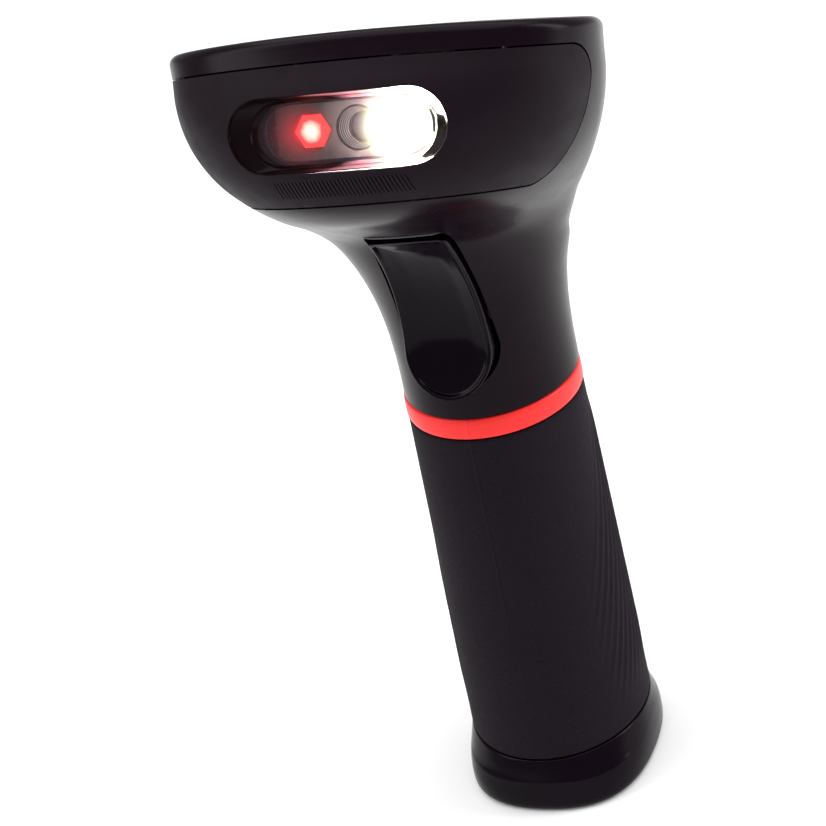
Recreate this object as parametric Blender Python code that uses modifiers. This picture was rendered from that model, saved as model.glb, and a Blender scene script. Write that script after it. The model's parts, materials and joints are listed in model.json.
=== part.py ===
"""Cordless handheld imager barcode scanner: a wide wrapped nose with a lit scan window, a
trigger, a red accent ring, a rubber grip sleeve and a foot cap, with its inner parts.

The scanner stands upright on its foot. World axes: +Z up the handle, -Y forward, X = 0 the
plane of symmetry. The origin is the middle of the foot's flat underside. The head is drawn
in its own frame, tilted back about X, whose level 0 is the top edge of the nose bezel.
Every length below is in millimetres, and make() turns it into metres.
"""

from math import cos, pi, radians, sin, tau

import bmesh
import bpy
from mathutils import Matrix, Vector

MM = 0.001

# Overall dimensions
FOOT_SEAM_Z = 11.0
RING_BOTTOM_Z = 82.5
RING_TOP_Z = 86.5
HEAD_DATUM_Z = 151.0
HEAD_TILT = 20.0
HANDLE_TOP = (16.65, 18.2)
HANDLE_BOTTOM = (18.05, 20.8)
GAP = 0.3
WALL = 2.2

# Split between front housing and rear cover, and the nose bezel's edges in the head frame
SPLIT_Y = 8.0
BEZEL_BACK_Y = -22.0
BEZEL_BOTTOM = -23.0
BEZEL_TOP_RADIUS = 6.5
BEZEL_BOTTOM_RADIUS = 3.0
HEAD_SIDE_SAG = 1.0
HEAD_REAR_DROP = 5.0
HEAD_HALF = 36.8
HEAD_DEPTH_BEHIND = 59.0

# Scan window and engine, in the head frame
WINDOW_LEVEL = -11.0
RIM_SIZE = (40.5, 12.8)
THROAT_SIZE = (30.0, 9.8)
THROAT_Y = -41.2
ENGINE_FRONT_Y = -34.7
ENGINE_SIZE = (28.8, 10.0, 11.0)
LED_PITCH = 8.0

# Trigger
PIVOT_Y = -18.5
PIVOT_Z = 123.3
TRIGGER_TOP_Z = 127.5
TRIGGER_BOTTOM_Z = 93.2
TRIGGER_HALF = (7.1, 8.2)
TRIGGER_SLOT_GAP = 0.9
TRIGGER_THICKNESS = 2.5
PLUNGER_Z = 109.5
PLUNGER_Y = -14.0
BRACKET_WEB_Y = -4.2
BRACKET_SCREW_X = 10.2

# Fasteners
SCREW_RADIUS = 1.0
HEAD_RADIUS = 2.2
SIDE_BOLTS = ((16.8, 131.7), (10.8, 101.0))

# Battery
CELL_RADIUS = 9.2
CELL_BOTTOM_Z = 22.0
CELL_LENGTH = 65.0

AROUND_FRONT = 10
AROUND_REAR = 8
ROUND = 20

# Neck sections: height on the handle axis, tilt, front, widest line, rear, half width
NECK = (
    (RING_TOP_Z + GAP, 0.0, -18.0, 0.4, 18.0, 16.6),
    (94.0, 1.0, -18.3, 0.6, 18.2, 16.6),
    (101.0, 4.0, -19.0, 0.6, 18.6, 17.0),
    (108.0, 9.0, -20.6, 0.0, 18.8, 18.2),
    (113.5, 15.0, -24.0, -1.5, 19.1, 19.9),
)
# Head sections: level, front, widest line, rear, half width, share of the head's own outline
HEAD = (
    (-32.0, -16.5, 6.5, 31.3, 21.3, 0.15),
    (-29.0, -25.0, 4.0, 31.4, 23.1, 0.4),
    (-26.0, -36.5, 0.0, 31.8, 25.4, 0.7),
    (-23.0, -41.5, -4.5, 32.3, 28.2, 0.9),
    (-18.5, -44.6, -10.5, 33.4, 31.9, 1.0),
    (-14.0, -45.8, -14.0, 34.8, 34.4, 1.0),
    (-9.0, -46.2, -16.0, 35.9, 36.0, 1.0),
    (-4.5, -45.4, -17.2, 36.6, 36.7, 1.0),
    (0.0, -43.8, -18.2, 37.0, 36.9, 1.0),
    (3.0, -43.1, -18.8, 36.8, 37.1, 1.0),
    (4.6, -41.3, -18.8, 35.2, 35.5, 1.0),
)
# How full each quarter of an outline is: front width, front depth, rear depth, rear width
OVAL = (0.552, 0.552, 0.552, 0.552)
FAN = (0.66, 0.70, 0.27, 0.48)
SQUARE = (0.78, 0.78, 0.78, 0.78)

# Foot sections: height, half width, front, rear, how square
FOOT = (
    (FOOT_SEAM_Z, 18.05, -20.8, 20.8, 0.0),
    (9.2, 18.4, -21.5, 20.9, 0.35),
    (6.6, 18.9, -22.4, 21.2, 0.8),
    (3.0, 18.95, -23.0, 21.2, 0.9),
    (1.0, 18.7, -22.8, 20.9, 0.9),
    (0.25, 18.1, -22.2, 20.3, 0.9),
    (0.0, 17.1, -21.2, 19.3, 0.9),
)

BLACK_GLOSS = ((0.017, 0.015, 0.02), 0.3, 0.0)
BLACK_MATTE = ((0.022, 0.02, 0.026), 0.62, 0.0)
RUBBER = ((0.018, 0.017, 0.02), 0.85, 0.0)
CORAL = ((0.85, 0.05, 0.05), 0.4, 0.0)
SMOKE = ((0.05, 0.04, 0.05), 0.05, 0.0)
PALE = ((0.5, 0.5, 0.52), 0.5, 0.0)
LENS = ((0.05, 0.06, 0.1), 0.05, 0.0)
RED_LIGHT = ((1.0, 0.05, 0.05), 0.3, 0.0)
WHITE_LIGHT = ((1.0, 0.98, 0.85), 0.3, 0.0)
BOARD = ((0.02, 0.12, 0.05), 0.5, 0.0)
STEEL = ((0.55, 0.55, 0.57), 0.35, 1.0)
BRASS = ((0.75, 0.55, 0.25), 0.3, 1.0)
INNER = ((0.03, 0.03, 0.032), 0.6, 0.0)
CELL = ((0.05, 0.14, 0.4), 0.4, 0.0)


def collection(name):
    made = bpy.data.collections.new(name)
    bpy.context.scene.collection.children.link(made)
    return made


for old in list(bpy.data.objects):
    bpy.data.objects.remove(old, do_unlink=True)
PARTS = collection("handheld_scanner")
CUTTERS = collection("cutters")
UPRIGHT = bpy.data.objects.new("upright_frame", None)
TILTED = bpy.data.objects.new("head_frame", None)
TILTED.location = (0, 0, HEAD_DATUM_Z * MM)
TILTED.rotation_euler = (radians(-HEAD_TILT), 0, 0)
for frame in (UPRIGHT, TILTED):
    PARTS.objects.link(frame)


# ---------------------------------------------------------------- helpers


def material(name, look):
    colour, roughness, metallic = look
    made = bpy.data.materials.new(name)
    made.use_nodes = True
    shader = made.node_tree.nodes["Principled BSDF"]
    shader.inputs["Base Color"].default_value = (*colour, 1)
    shader.inputs["Roughness"].default_value = roughness
    shader.inputs["Metallic"].default_value = metallic
    return made


def make(name, bm, look=None, frame=UPRIGHT, origin=(0, 0, 0)):
    """An object from a mesh in millimetres. Without a look it is a hidden cutter."""
    bmesh.ops.translate(bm, verts=bm.verts, vec=-Vector(origin))
    bmesh.ops.scale(bm, verts=bm.verts, vec=(MM, MM, MM))
    bmesh.ops.recalc_face_normals(bm, faces=bm.faces)
    if bm.calc_volume(signed=True) < 0:
        bmesh.ops.reverse_faces(bm, faces=bm.faces)
    mesh = bpy.data.meshes.new(name)
    bm.to_mesh(mesh)
    bm.free()
    obj = bpy.data.objects.new(name, mesh)
    obj.parent = frame
    obj.location = Vector(origin) * MM
    if look is None:
        CUTTERS.objects.link(obj)
        obj.hide_render = True
        obj.display_type = "WIRE"
        return obj
    PARTS.objects.link(obj)
    mesh.materials.append(material(name, look))
    mesh.shade_smooth()
    mesh.set_sharp_from_angle(angle=radians(35))
    return obj


def boolean(obj, operation, cutter):
    modifier = obj.modifiers.new(f"{operation.lower()}_{cutter.name}", "BOOLEAN")
    modifier.operation = operation
    modifier.object = cutter


def cut(obj, *cutters):
    for cutter in cutters:
        boolean(obj, "DIFFERENCE", cutter)


def bevel(obj, width, segments=1, angle=40):
    modifier = obj.modifiers.new("soft_edges", "BEVEL")
    modifier.width = width * MM
    modifier.segments = segments
    modifier.limit_method = "ANGLE"
    modifier.angle_limit = radians(angle)


def solidify(obj, thickness):
    modifier = obj.modifiers.new("wall", "SOLIDIFY")
    modifier.thickness = thickness * MM
    modifier.offset = -1
    modifier.use_even_offset = True


def box(low, high):
    bm = bmesh.new()
    bmesh.ops.create_cube(bm, size=1)
    low, high = Vector(low), Vector(high)
    bmesh.ops.scale(bm, verts=bm.verts, vec=high - low)
    bmesh.ops.translate(bm, verts=bm.verts, vec=(low + high) / 2)
    return bm


def rod(radius, start, end, end_radius=None, sides=ROUND):
    """A cylinder or cone between two points."""
    start, end = Vector(start), Vector(end)
    bm = bmesh.new()
    bmesh.ops.create_cone(
        bm,
        cap_ends=True,
        segments=sides,
        radius1=radius,
        radius2=radius if end_radius is None else end_radius,
        depth=(end - start).length,
    )
    turn = (end - start).to_track_quat("Z", "Y").to_matrix().to_4x4()
    bmesh.ops.transform(bm, verts=bm.verts, matrix=Matrix.Translation((start + end) / 2) @ turn)
    return bm


def add(bm, other):
    """Copy another mesh into this one and free it."""
    mesh = bpy.data.meshes.new("joined")
    other.to_mesh(mesh)
    other.free()
    bm.from_mesh(mesh)
    bpy.data.meshes.remove(mesh)
    return bm


def loft(rings, cap_start=True, cap_end=True):
    """Quads between rings of points, each ring with as many points as the others."""
    bm = bmesh.new()
    loops = [[bm.verts.new(point) for point in ring] for ring in rings]
    count = len(loops[0])
    for lower, upper in zip(loops, loops[1:]):
        for i in range(count):
            j = (i + 1) % count
            bm.faces.new((lower[i], lower[j], upper[j], upper[i]))
    if cap_start:
        bm.faces.new(list(reversed(loops[0])))
    if cap_end:
        bm.faces.new(loops[-1])
    return bm


def turned(profile, centre=(0, 0), sides=ROUND):
    """A solid turned about a vertical axis from (radius, z) points, closed at the axis."""
    cx, cy = centre
    rings = []
    for radius, z in profile:
        angles = [tau * i / sides for i in range(sides)]
        rings.append([(cx + radius * cos(a), cy + radius * sin(a), z) for a in angles])
    return loft(rings)


def prism(outline, axis, low, high):
    """An outline of (a, b) points, extruded along X (a = y, b = z) or Y (a = x, b = z)."""
    if axis == "X":
        rings = [[(c, a, b) for a, b in outline] for c in (low, high)]
    elif axis == "Y":
        rings = [[(a, c, b) for a, b in outline] for c in (low, high)]
    else:
        rings = [[(a, b, c) for a, b in outline] for c in (low, high)]
    return loft(rings)


def arc(cx, cy, radius, start, end, steps):
    angles = [radians(start + (end - start) * i / steps) for i in range(steps + 1)]
    return [(cx + radius * cos(a), cy + radius * sin(a)) for a in angles]


def stadium(width, height, level, steps=8):
    """The outline of a slot with round ends, wide along X."""
    radius = height / 2
    half = width / 2 - radius
    return arc(half, level, radius, -90, 90, steps) + arc(-half, level, radius, 90, 270, steps)


def bezier(a, b, c, d, t):
    s = 1 - t
    return a * s**3 + 3 * b * s * s * t + 3 * c * s * t * t + d * t**3


def outline(front, wide, rear, half, fullness):
    """A closed plan outline of (x, y) points, mirrored about x = 0, starting at the front."""
    front_width, front_depth, rear_depth, rear_width = fullness
    right = []
    for i in range(AROUND_FRONT + 1):
        t = i / AROUND_FRONT
        x = bezier(0, front_width * half, half, half, t)
        y = bezier(front, front, wide + front_depth * (front - wide), wide, t)
        right.append((x, y))
    for i in range(1, AROUND_REAR + 1):
        t = i / AROUND_REAR
        x = bezier(half, half, rear_width * half, 0, t)
        y = bezier(wide, wide + rear_depth * (rear - wide), rear, rear, t)
        right.append((x, y))
    left = [(-x, y) for x, y in reversed(right[1:-1])]
    return right + left


def blended(share, other=FAN):
    return [a + (b - a) * share for a, b in zip(OVAL, other)]


def arched(x, y, level):
    """A point of the head, lowered a little towards the sides and the rear near the top."""
    weight = max(0.0, 1 + level / 12)
    side = HEAD_SIDE_SAG * (x / HEAD_HALF) ** 2
    rear = HEAD_REAR_DROP * (max(0.0, y - BEZEL_BACK_Y) / HEAD_DEPTH_BEHIND) ** 2
    return Vector((x, y, level - weight * (side + rear)))


def body_rings(inset=0.0):
    """The outer surface of the housing as rings of world points, from the neck to the top."""
    rings = []
    for height, tilt, front, wide, rear, half in NECK:
        turn = Matrix.Translation((0, 0, height)) @ Matrix.Rotation(radians(-tilt), 4, "X")
        points = outline(front + inset, wide, rear - inset, half - inset, OVAL)
        rings.append([turn @ Vector((x, y, 0)) for x, y in points])
    tilt = Matrix.Translation((0, 0, HEAD_DATUM_Z)) @ Matrix.Rotation(radians(-HEAD_TILT), 4, "X")
    for level, front, wide, rear, half, share in HEAD:
        points = outline(front + inset, wide, rear - inset, half - inset, blended(share))
        rings.append([tilt @ arched(x, y, level) for x, y in points])
    level, front, wide, rear, half, share = HEAD[-1]
    for scale in (0.7, 0.35):
        points = outline(front, wide, rear, half, FAN)
        mid = (front + rear) / 2
        shrunk = [(x * scale, mid + (y - mid) * scale) for x, y in points]
        rings.append([tilt @ arched(x, y, level) for x, y in shrunk])
    return rings


def body_shell(name, look):
    """The whole housing wall as one hollow skin, open at the neck."""
    obj = make(name, loft(body_rings(), cap_start=False), look)
    solidify(obj, WALL)
    return obj


def bezel_profile(grow):
    """Side outline of the bezel region in the head frame: (y, level) points."""
    back = BEZEL_BACK_Y + grow
    top = grow
    bottom = BEZEL_BOTTOM - grow
    far = -70.0
    high = arc(back - BEZEL_TOP_RADIUS, top - BEZEL_TOP_RADIUS, BEZEL_TOP_RADIUS, 90, 0, 6)
    low = arc(back - BEZEL_BOTTOM_RADIUS, bottom + BEZEL_BOTTOM_RADIUS, BEZEL_BOTTOM_RADIUS, 0, -90, 4)
    return [(far, top)] + high + low + [(far, bottom)]


def sagged_prism(name, grow):
    """The bezel region across the whole head; its top edge follows the head's slight arch."""
    profile = bezel_profile(grow)
    rings = []
    for i in range(-6, 7):
        x = 10.0 * i
        rings.append([arched(x, y, level) for y, level in profile])
    return make(name, loft(rings), frame=TILTED)


# ---------------------------------------------------------------- shared cutters

MID_WALL_SOLID = make("mid_wall_solid", loft(body_rings(inset=1.0)))
BEZEL_REGION = sagged_prism("bezel_region", 0.0)
BEZEL_POCKET = sagged_prism("bezel_pocket", GAP)
FRONT_SIDE = make("front_side", box((-80, -90, 60), (80, SPLIT_Y, 220)))
REAR_SIDE = make("rear_side", box((-80, SPLIT_Y + GAP, 60), (80, 90, 220)))


# ---------------------------------------------------------------- housing


def trigger_outline(grow):
    """Front outline of the trigger: straight top, slightly flared sides, round bottom."""
    top, bottom = TRIGGER_HALF[0] + grow, TRIGGER_HALF[1] + grow
    low_z = TRIGGER_BOTTOM_Z - grow + bottom
    base = arc(0, low_z, bottom, 0, -180, 12)
    return [(top, TRIGGER_TOP_Z + grow)] + base + [(-top, TRIGGER_TOP_Z + grow)]


def post_outline(x, z, radius):
    """A round post with a flat web running out sideways to the wall: (x, z) points."""
    side = 1 if x > 0 else -1
    points = arc(0, 0, radius, 30, 330, 12)
    points += [(30, -radius / 2), (30, radius / 2)]
    return [(x + side * px, z + pz) for px, pz in points]


def gather(name, pieces):
    """One cutter or boss object from several pieces that don't touch each other."""
    bm = pieces[0]
    for piece in pieces[1:]:
        add(bm, piece)
    return make(name, bm)


def tilted(bm):
    """Move a piece drawn in the head frame to world millimetres."""
    turn = Matrix.Translation((0, 0, HEAD_DATUM_Z)) @ Matrix.Rotation(radians(-HEAD_TILT), 4, "X")
    bmesh.ops.transform(bm, verts=bm.verts, matrix=turn)
    return bm


def front_housing():
    obj = body_shell("front_housing", BLACK_GLOSS)
    boolean(obj, "INTERSECT", FRONT_SIDE)
    slot = make("trigger_slot", prism(trigger_outline(TRIGGER_SLOT_GAP), "Y", -60, -12.0))
    cut(obj, BEZEL_POCKET, slot)
    posts, pilots = [], [tilted(prism(status_outline(GAP), "Z", -2.2, 9.3))]
    post_end = BRACKET_WEB_Y - GAP
    for side in (-1, 1):
        for x, z in SIDE_BOLTS:
            x *= side
            posts.append(prism(post_outline(x, z, 3.0), "Y", -3, SPLIT_Y - GAP))
            pilots.append(rod(SCREW_RADIUS + GAP, (x, -2, z), (x, 12, z), sides=12))
        spot = side * BRACKET_SCREW_X
        posts.append(prism(post_outline(spot, 114, 2.0), "Y", -19, post_end))
        pilots.append(rod(SCREW_RADIUS, (spot, post_end - 5.5, 114), (spot, 0, 114), sides=12))
        posts.append(tilted(rod(2.4, (side * 19, -12, 3), (side * 19, -12, -1.2))))
        pilots.append(tilted(rod(SCREW_RADIUS, (side * 19, -12, 1.6), (side * 19, -12, -5), sides=12)))
    posts = gather("front_posts", posts)
    boolean(posts, "INTERSECT", MID_WALL_SOLID)
    boolean(obj, "UNION", posts)
    cut(obj, gather("front_pilots", pilots))
    return obj


def rear_cover():
    obj = body_shell("rear_cover", BLACK_GLOSS)
    boolean(obj, "INTERSECT", REAR_SIDE)
    wells, bores, holes = [], [], []
    for x, z in [(side * x, z) for x, z in SIDE_BOLTS for side in (-1, 1)]:
        wells.append(rod(3.4, (x, SPLIT_Y + GAP, z), (x, 45, z)))
        bores.append(rod(HEAD_RADIUS + 0.4, (x, SPLIT_Y + 2.3, z), (x, 60, z)))
        holes.append(rod(SCREW_RADIUS + GAP, (x, 0, z), (x, SPLIT_Y + 5, z), sides=12))
    wells = gather("rear_wells", wells)
    boolean(wells, "INTERSECT", MID_WALL_SOLID)
    boolean(obj, "UNION", wells)
    cut(obj, gather("rear_bores", bores), gather("rear_holes", holes))
    return obj


def housing_screws():
    for number, (x, z) in enumerate(
        [(side * x, z) for x, z in SIDE_BOLTS for side in (-1, 1)], start=1
    ):
        screw(f"housing_screw_{number}", (x, SPLIT_Y + 2.6, z), (0, -1, 0), 11.0)


def screw(name, seat, direction, length, frame=UPRIGHT, radius=SCREW_RADIUS - 0.05):
    """A pan-head screw with a cross slot: seat is the underside of the head."""
    direction = Vector(direction)
    seat = Vector(seat)
    top = seat - direction * 1.4
    profile = ((0.4, 0), (radius, 0.6), (radius, length), (HEAD_RADIUS, length))
    profile += ((HEAD_RADIUS, length + 0.9), (HEAD_RADIUS * 0.7, length + 1.4))
    bm = turned(profile, sides=14)
    turn = (-direction).to_track_quat("Z", "Y").to_matrix().to_4x4()
    place = Matrix.Translation(seat + direction * length) @ turn
    bmesh.ops.transform(bm, verts=bm.verts, matrix=place)
    obj = make(name, bm, STEEL, frame)
    for i, size in enumerate(((2.2, 0.5), (0.5, 2.2))):
        blade = box((-size[0] / 2, -size[1] / 2, -0.7), (size[0] / 2, size[1] / 2, 1.0))
        bmesh.ops.transform(blade, verts=blade.verts, matrix=Matrix.Translation(top) @ turn)
        cut(obj, make(f"{name}_slot_{i}", blade, frame=frame))
    return obj


# ---------------------------------------------------------------- nose


def nose_bezel():
    """The matte front plate, wrapped round to the sides, with the funnel to the glass."""
    obj = body_shell("nose_bezel", BLACK_MATTE)
    boolean(obj, "INTERSECT", BEZEL_REGION)
    width, height = RIM_SIZE
    block_outline = stadium(width + 3, height + 3, WINDOW_LEVEL)
    block = make("funnel_block", prism(block_outline, "Y", -60, THROAT_Y), frame=TILTED)
    boolean(block, "INTERSECT", MID_WALL_SOLID)
    boolean(obj, "UNION", block)
    wide = [(x, -48.0, z) for x, z in stadium(width + 0.6, height + 0.6, WINDOW_LEVEL)]
    narrow = [(x, THROAT_Y + 0.5, z) for x, z in stadium(*THROAT_SIZE, WINDOW_LEVEL)]
    cut(obj, make("funnel_cutter", loft([wide, narrow]), frame=TILTED))
    return obj


def window_parts():
    glass = prism(stadium(32.4, 11.8, WINDOW_LEVEL), "Y", THROAT_Y + GAP, THROAT_Y + 1.5)
    make("window_glass", glass, SMOKE, TILTED)
    ring = prism(stadium(32.4, 11.8, WINDOW_LEVEL), "Y", THROAT_Y + 1.8, THROAT_Y + 3.0)
    gasket = make("window_gasket", ring, RUBBER, TILTED)
    hole = prism(stadium(29.4, 9.2, WINDOW_LEVEL), "Y", THROAT_Y, THROAT_Y + 6)
    cut(gasket, make("gasket_hole", hole, frame=TILTED))


def engine():
    width, depth, height = ENGINE_SIZE
    front, level = ENGINE_FRONT_Y, WINDOW_LEVEL
    back = front + depth
    low, high = level - height / 2, level + height / 2
    body = make("engine_chassis", box((-width / 2, front, low), (width / 2, back, high)), PALE, TILTED)
    bore = rod(3.8, (0, front - 1, level), (0, front + 7.5, level))
    aimer = rod(3.3, (-LED_PITCH, front - 1, level), (-LED_PITCH, front + 3, level))
    lamp = box((LED_PITCH - 3.7, front - 1, level - 3.7), (LED_PITCH + 3.7, front + 3, level + 3.7))
    for name, bm in (("lens_bore", bore), ("aimer_pocket", aimer), ("lamp_pocket", lamp)):
        cut(body, make(name, bm, frame=TILTED))
    for side in (-1, 1):
        pilot = rod(0.9, (side * 12.4, front + 5, low - 2), (side * 12.4, front + 5, low + 3), sides=12)
        cut(body, make(f"engine_pilot_{side}", pilot, frame=TILTED))
    barrel = make("lens_barrel", rod(3.5, (0, front - 0.4, level), (0, front + 7, level)), INNER, TILTED)
    cut(barrel, make("barrel_bore", rod(2.5, (0, front - 2, level), (0, front + 9, level)), frame=TILTED))
    cone = rod(3.1, (0, front - 0.5, level), (0, front + 1.2, level), 2.2)
    cut(barrel, make("barrel_cone", cone, frame=TILTED))
    camera_lens(front + 2.4, level)
    hexagon = [(-LED_PITCH + x, level + z) for x, z in arc(0, 0, 2.9, 0, 300, 5)]
    aimer_bm = prism(hexagon, "Y", front + 0.2, front + 2.6)
    bevel(make("aimer_lens", aimer_bm, RED_LIGHT, TILTED), 0.5, 2, 30)
    lamp_size = 3.3
    lamp_bm = box(
        (LED_PITCH - lamp_size, front + 0.2, level - lamp_size),
        (LED_PITCH + lamp_size, front + 2.6, level + lamp_size),
    )
    bevel(make("illumination_lens", lamp_bm, WHITE_LIGHT, TILTED), 0.9, 3, 30)
    make("engine_board", box((-14, back + GAP, low + 0.4), (14, back + 1.5, high - 0.4)), BOARD, TILTED)
    engine_bracket(front, back, low)


def camera_lens(y, level):
    """A lens with two curved faces, turned about the scan axis."""
    profile = [(0.3, 0.0), (1.4, 0.25), (2.2, 0.8), (2.2, 1.6), (1.4, 2.15), (0.3, 2.4)]
    bm = turned(profile, sides=16)
    turn = Matrix.Translation((0, y + 2.4, level)) @ Matrix.Rotation(radians(90), 4, "X")
    bmesh.ops.transform(bm, verts=bm.verts, matrix=turn)
    make("camera_lens", bm, LENS, TILTED)


def engine_bracket(front, back, low):
    """A folded tray under the engine, screwed up into it."""
    half = ENGINE_SIZE[0] / 2
    floor = low - 0.3
    tray = [(-half - 1.4, floor + 7), (-half - 1.4, floor - 1), (half + 1.4, floor - 1)]
    tray += [(half + 1.4, floor + 7), (half + 0.4, floor + 7), (half + 0.4, floor)]
    tray += [(-half - 0.4, floor), (-half - 0.4, floor + 7)]
    obj = make("engine_bracket", prism(tray, "Y", front + 1, back), STEEL, TILTED)
    for number, side in enumerate((-1, 1), start=1):
        spot = side * 12.4
        hole = rod(1.1, (spot, front + 5, floor - 3), (spot, front + 5, floor + 1), sides=12)
        cut(obj, make(f"tray_hole_{side}", hole, frame=TILTED))
        seat = (spot, front + 5, floor - 1.3)
        screw(f"engine_screw_{number}", seat, (0, 0, 1), 3.2, TILTED, 0.6)


# ---------------------------------------------------------------- electronics in the head


def status_outline(grow):
    return [(x, y - 5) for x, y in stadium(7 + 2 * grow, 2.6 + 2 * grow, 0, 5)]


def head_electronics():
    plan = [(-24, -17), (24, -17), (24, -6), (15, 14), (-15, 14), (-24, -6)]
    board = make("main_board", prism(plan, "Z", -2.7, -1.5), BOARD, TILTED)
    make("processor_shield", box((-8, -6, -1.2), (8, 7, -0.1)), STEEL, TILTED)
    make("beeper", turned(((6, -7.2), (6, -3.4), (5.4, -3.0)), (12, 8)), INNER, TILTED)
    make("status_light", prism(status_outline(0), "Z", 0.4, 4.3), PALE, TILTED)
    for number, side in enumerate((-1, 1), start=1):
        hole = rod(1.3, (side * 19, -12, -5), (side * 19, -12, 1), sides=12)
        cut(board, make(f"board_hole_{side}", hole, frame=TILTED))
        screw(f"board_screw_{number}", (side * 19, -12, -3.0), (0, 0, 1), 4.2, TILTED, 0.7)
    path = [(-22.6, -14.6), (-21.4, -14.2), (-19.8, -10.0), (-16.2, -5.2), (-12.0, -3.4)]
    make("flex_cable", prism(ribbon(path, 0.16), "X", -5, 5), BRASS, TILTED)


def ribbon(path, half):
    """The outline of a strip of even thickness that follows a path."""
    upper, lower = [], []
    for i, point in enumerate(path):
        before, after = path[max(0, i - 1)], path[min(len(path) - 1, i + 1)]
        along = (Vector(after) - Vector(before)).normalized() * half
        upper.append((point[0] - along.y, point[1] + along.x))
        lower.append((point[0] + along.y, point[1] - along.x))
    return upper + lower[::-1]


# ---------------------------------------------------------------- trigger


def trigger():
    """A tongue with a dished finger face and a raised rim, hung from its upper end."""
    rings = []
    rows = 14
    top_z, low_z = TRIGGER_TOP_Z, TRIGGER_BOTTOM_Z
    radius = TRIGGER_HALF[1]
    for i in range(rows + 1):
        z = top_z + (low_z + 0.15 - top_z) * (1 - cos(pi * i / rows)) / 2
        side = radius - (radius - TRIGGER_HALF[0]) * max(0.0, (z - 113) / (top_z - 113))
        below = max(0.0, low_z + radius - z)
        half = (radius**2 - below**2) ** 0.5 if below else side
        front = trigger_front(z)
        back = front + TRIGGER_THICKNESS
        dish = 1.1 * sin(pi * i / rows) * half / radius
        ring = [(-half, back, z), (-half, front + 0.5, z)]
        for j in range(7):
            across = -0.94 + 1.88 * j / 6
            bowl = dish * max(0.0, 1 - (across / 0.8) ** 2) + 0.1
            ring.append((across * half, front + bowl, z))
        ring += [(half, front + 0.5, z), (half, back, z)]
        rings.append(ring)
    bm = loft(rings)
    origin = (0, PIVOT_Y, PIVOT_Z)
    obj = make("trigger", bm, BLACK_GLOSS, origin=origin)
    lug = rod(2.2, (-3, PIVOT_Y, PIVOT_Z), (3, PIVOT_Y, PIVOT_Z))
    boolean(obj, "UNION", make("trigger_lug", lug))
    neck = box((-3, PIVOT_Y - 2.6, PIVOT_Z - 2.0), (3, PIVOT_Y - 0.4, PIVOT_Z + 1.6))
    boolean(obj, "UNION", make("trigger_lug_neck", neck))
    nub = rod(2.0, (0, trigger_front(PLUNGER_Z) + 1.8, PLUNGER_Z), (0, PLUNGER_Y - GAP, PLUNGER_Z))
    boolean(obj, "UNION", make("trigger_nub", nub))
    cut(obj, make("trigger_bore", rod(1.3, (-9, PIVOT_Y, PIVOT_Z), (9, PIVOT_Y, PIVOT_Z), sides=16)))
    return obj


def trigger_front(z):
    """How far forward the rim of the trigger stands at height z: a finger-shaped hollow."""
    t = (z - TRIGGER_BOTTOM_Z) / (TRIGGER_TOP_Z - TRIGGER_BOTTOM_Z)
    if t < 0.38:
        return bezier(-22.6, -20.0, -18.2, -18.2, t / 0.38)
    return bezier(-18.2, -18.2, -21.0, -27.0, (t - 0.38) / 0.62)


def trigger_fittings():
    make("trigger_pin", rod(1.0, (-7.2, PIVOT_Y, PIVOT_Z), (7.2, PIVOT_Y, PIVOT_Z), sides=16), STEEL)
    web = BRACKET_WEB_Y
    cheek = [(-18.5, 120.9), (-20.4, 122.6), (-20.4, 125.4), (-16, 127), (web, 127)]
    cheek += [(web, 104), (-12.3, 104), (-12.3, 117)]
    bracket = make("trigger_bracket", prism(cheek, "X", 6.0, 7.4), INNER)
    boolean(bracket, "UNION", make("left_cheek", prism(cheek, "X", -7.4, -6.0)))
    boolean(bracket, "UNION", make("back_web", box((-7.4, web, 104), (7.4, web + 1.2, 127))))
    ears = box((-12.6, web + 0.01, 111.2), (12.6, web + 1.21, 116.8))
    boolean(bracket, "UNION", make("bracket_ears", ears))
    pin_hole = rod(1.35, (-9, PIVOT_Y, PIVOT_Z), (9, PIVOT_Y, PIVOT_Z), sides=16)
    cut(bracket, make("bracket_pin_hole", pin_hole))
    for number, side in enumerate((-1, 1), start=1):
        spot = side * BRACKET_SCREW_X
        hole = rod(1.3, (spot, web - 2, 114), (spot, web + 3, 114), sides=12)
        cut(bracket, make(f"ear_hole_{side}", hole))
        screw(f"bracket_screw_{number}", (spot, web + 1.5, 114), (0, -1, 0), 6.4, radius=0.7)
    make("switch_board", box((-5.6, web - 1.4, 104.5), (5.6, web - 0.3, 115)), BOARD)
    low_z, high_z = PLUNGER_Z - 3.2, PLUNGER_Z + 3.2
    body = make("trigger_switch", box((-3.2, web - 6.3, low_z), (3.2, web - 1.7, high_z)), INNER)
    bore = rod(1.9, (0, web - 8, PLUNGER_Z), (0, web - 2.9, PLUNGER_Z), sides=16)
    cut(body, make("switch_bore", bore))
    plunger = rod(1.6, (0, PLUNGER_Y, PLUNGER_Z), (0, web - 4.4, PLUNGER_Z), sides=16)
    make("switch_plunger", plunger, PALE, origin=(0, PLUNGER_Y, PLUNGER_Z))


def tube(name, points, radius, look, frame=UPRIGHT):
    curve = bpy.data.curves.new(name, "CURVE")
    curve.dimensions = "3D"
    curve.bevel_depth = radius * MM
    curve.bevel_resolution = 2
    curve.use_fill_caps = True
    spline = curve.splines.new("POLY")
    spline.points.add(len(points) - 1)
    for point, place in zip(spline.points, points):
        point.co = (*(Vector(place) * MM), 1)
    obj = bpy.data.objects.new(name, curve)
    obj.parent = frame
    PARTS.objects.link(obj)
    curve.materials.append(material(name, look))
    return obj


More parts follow.
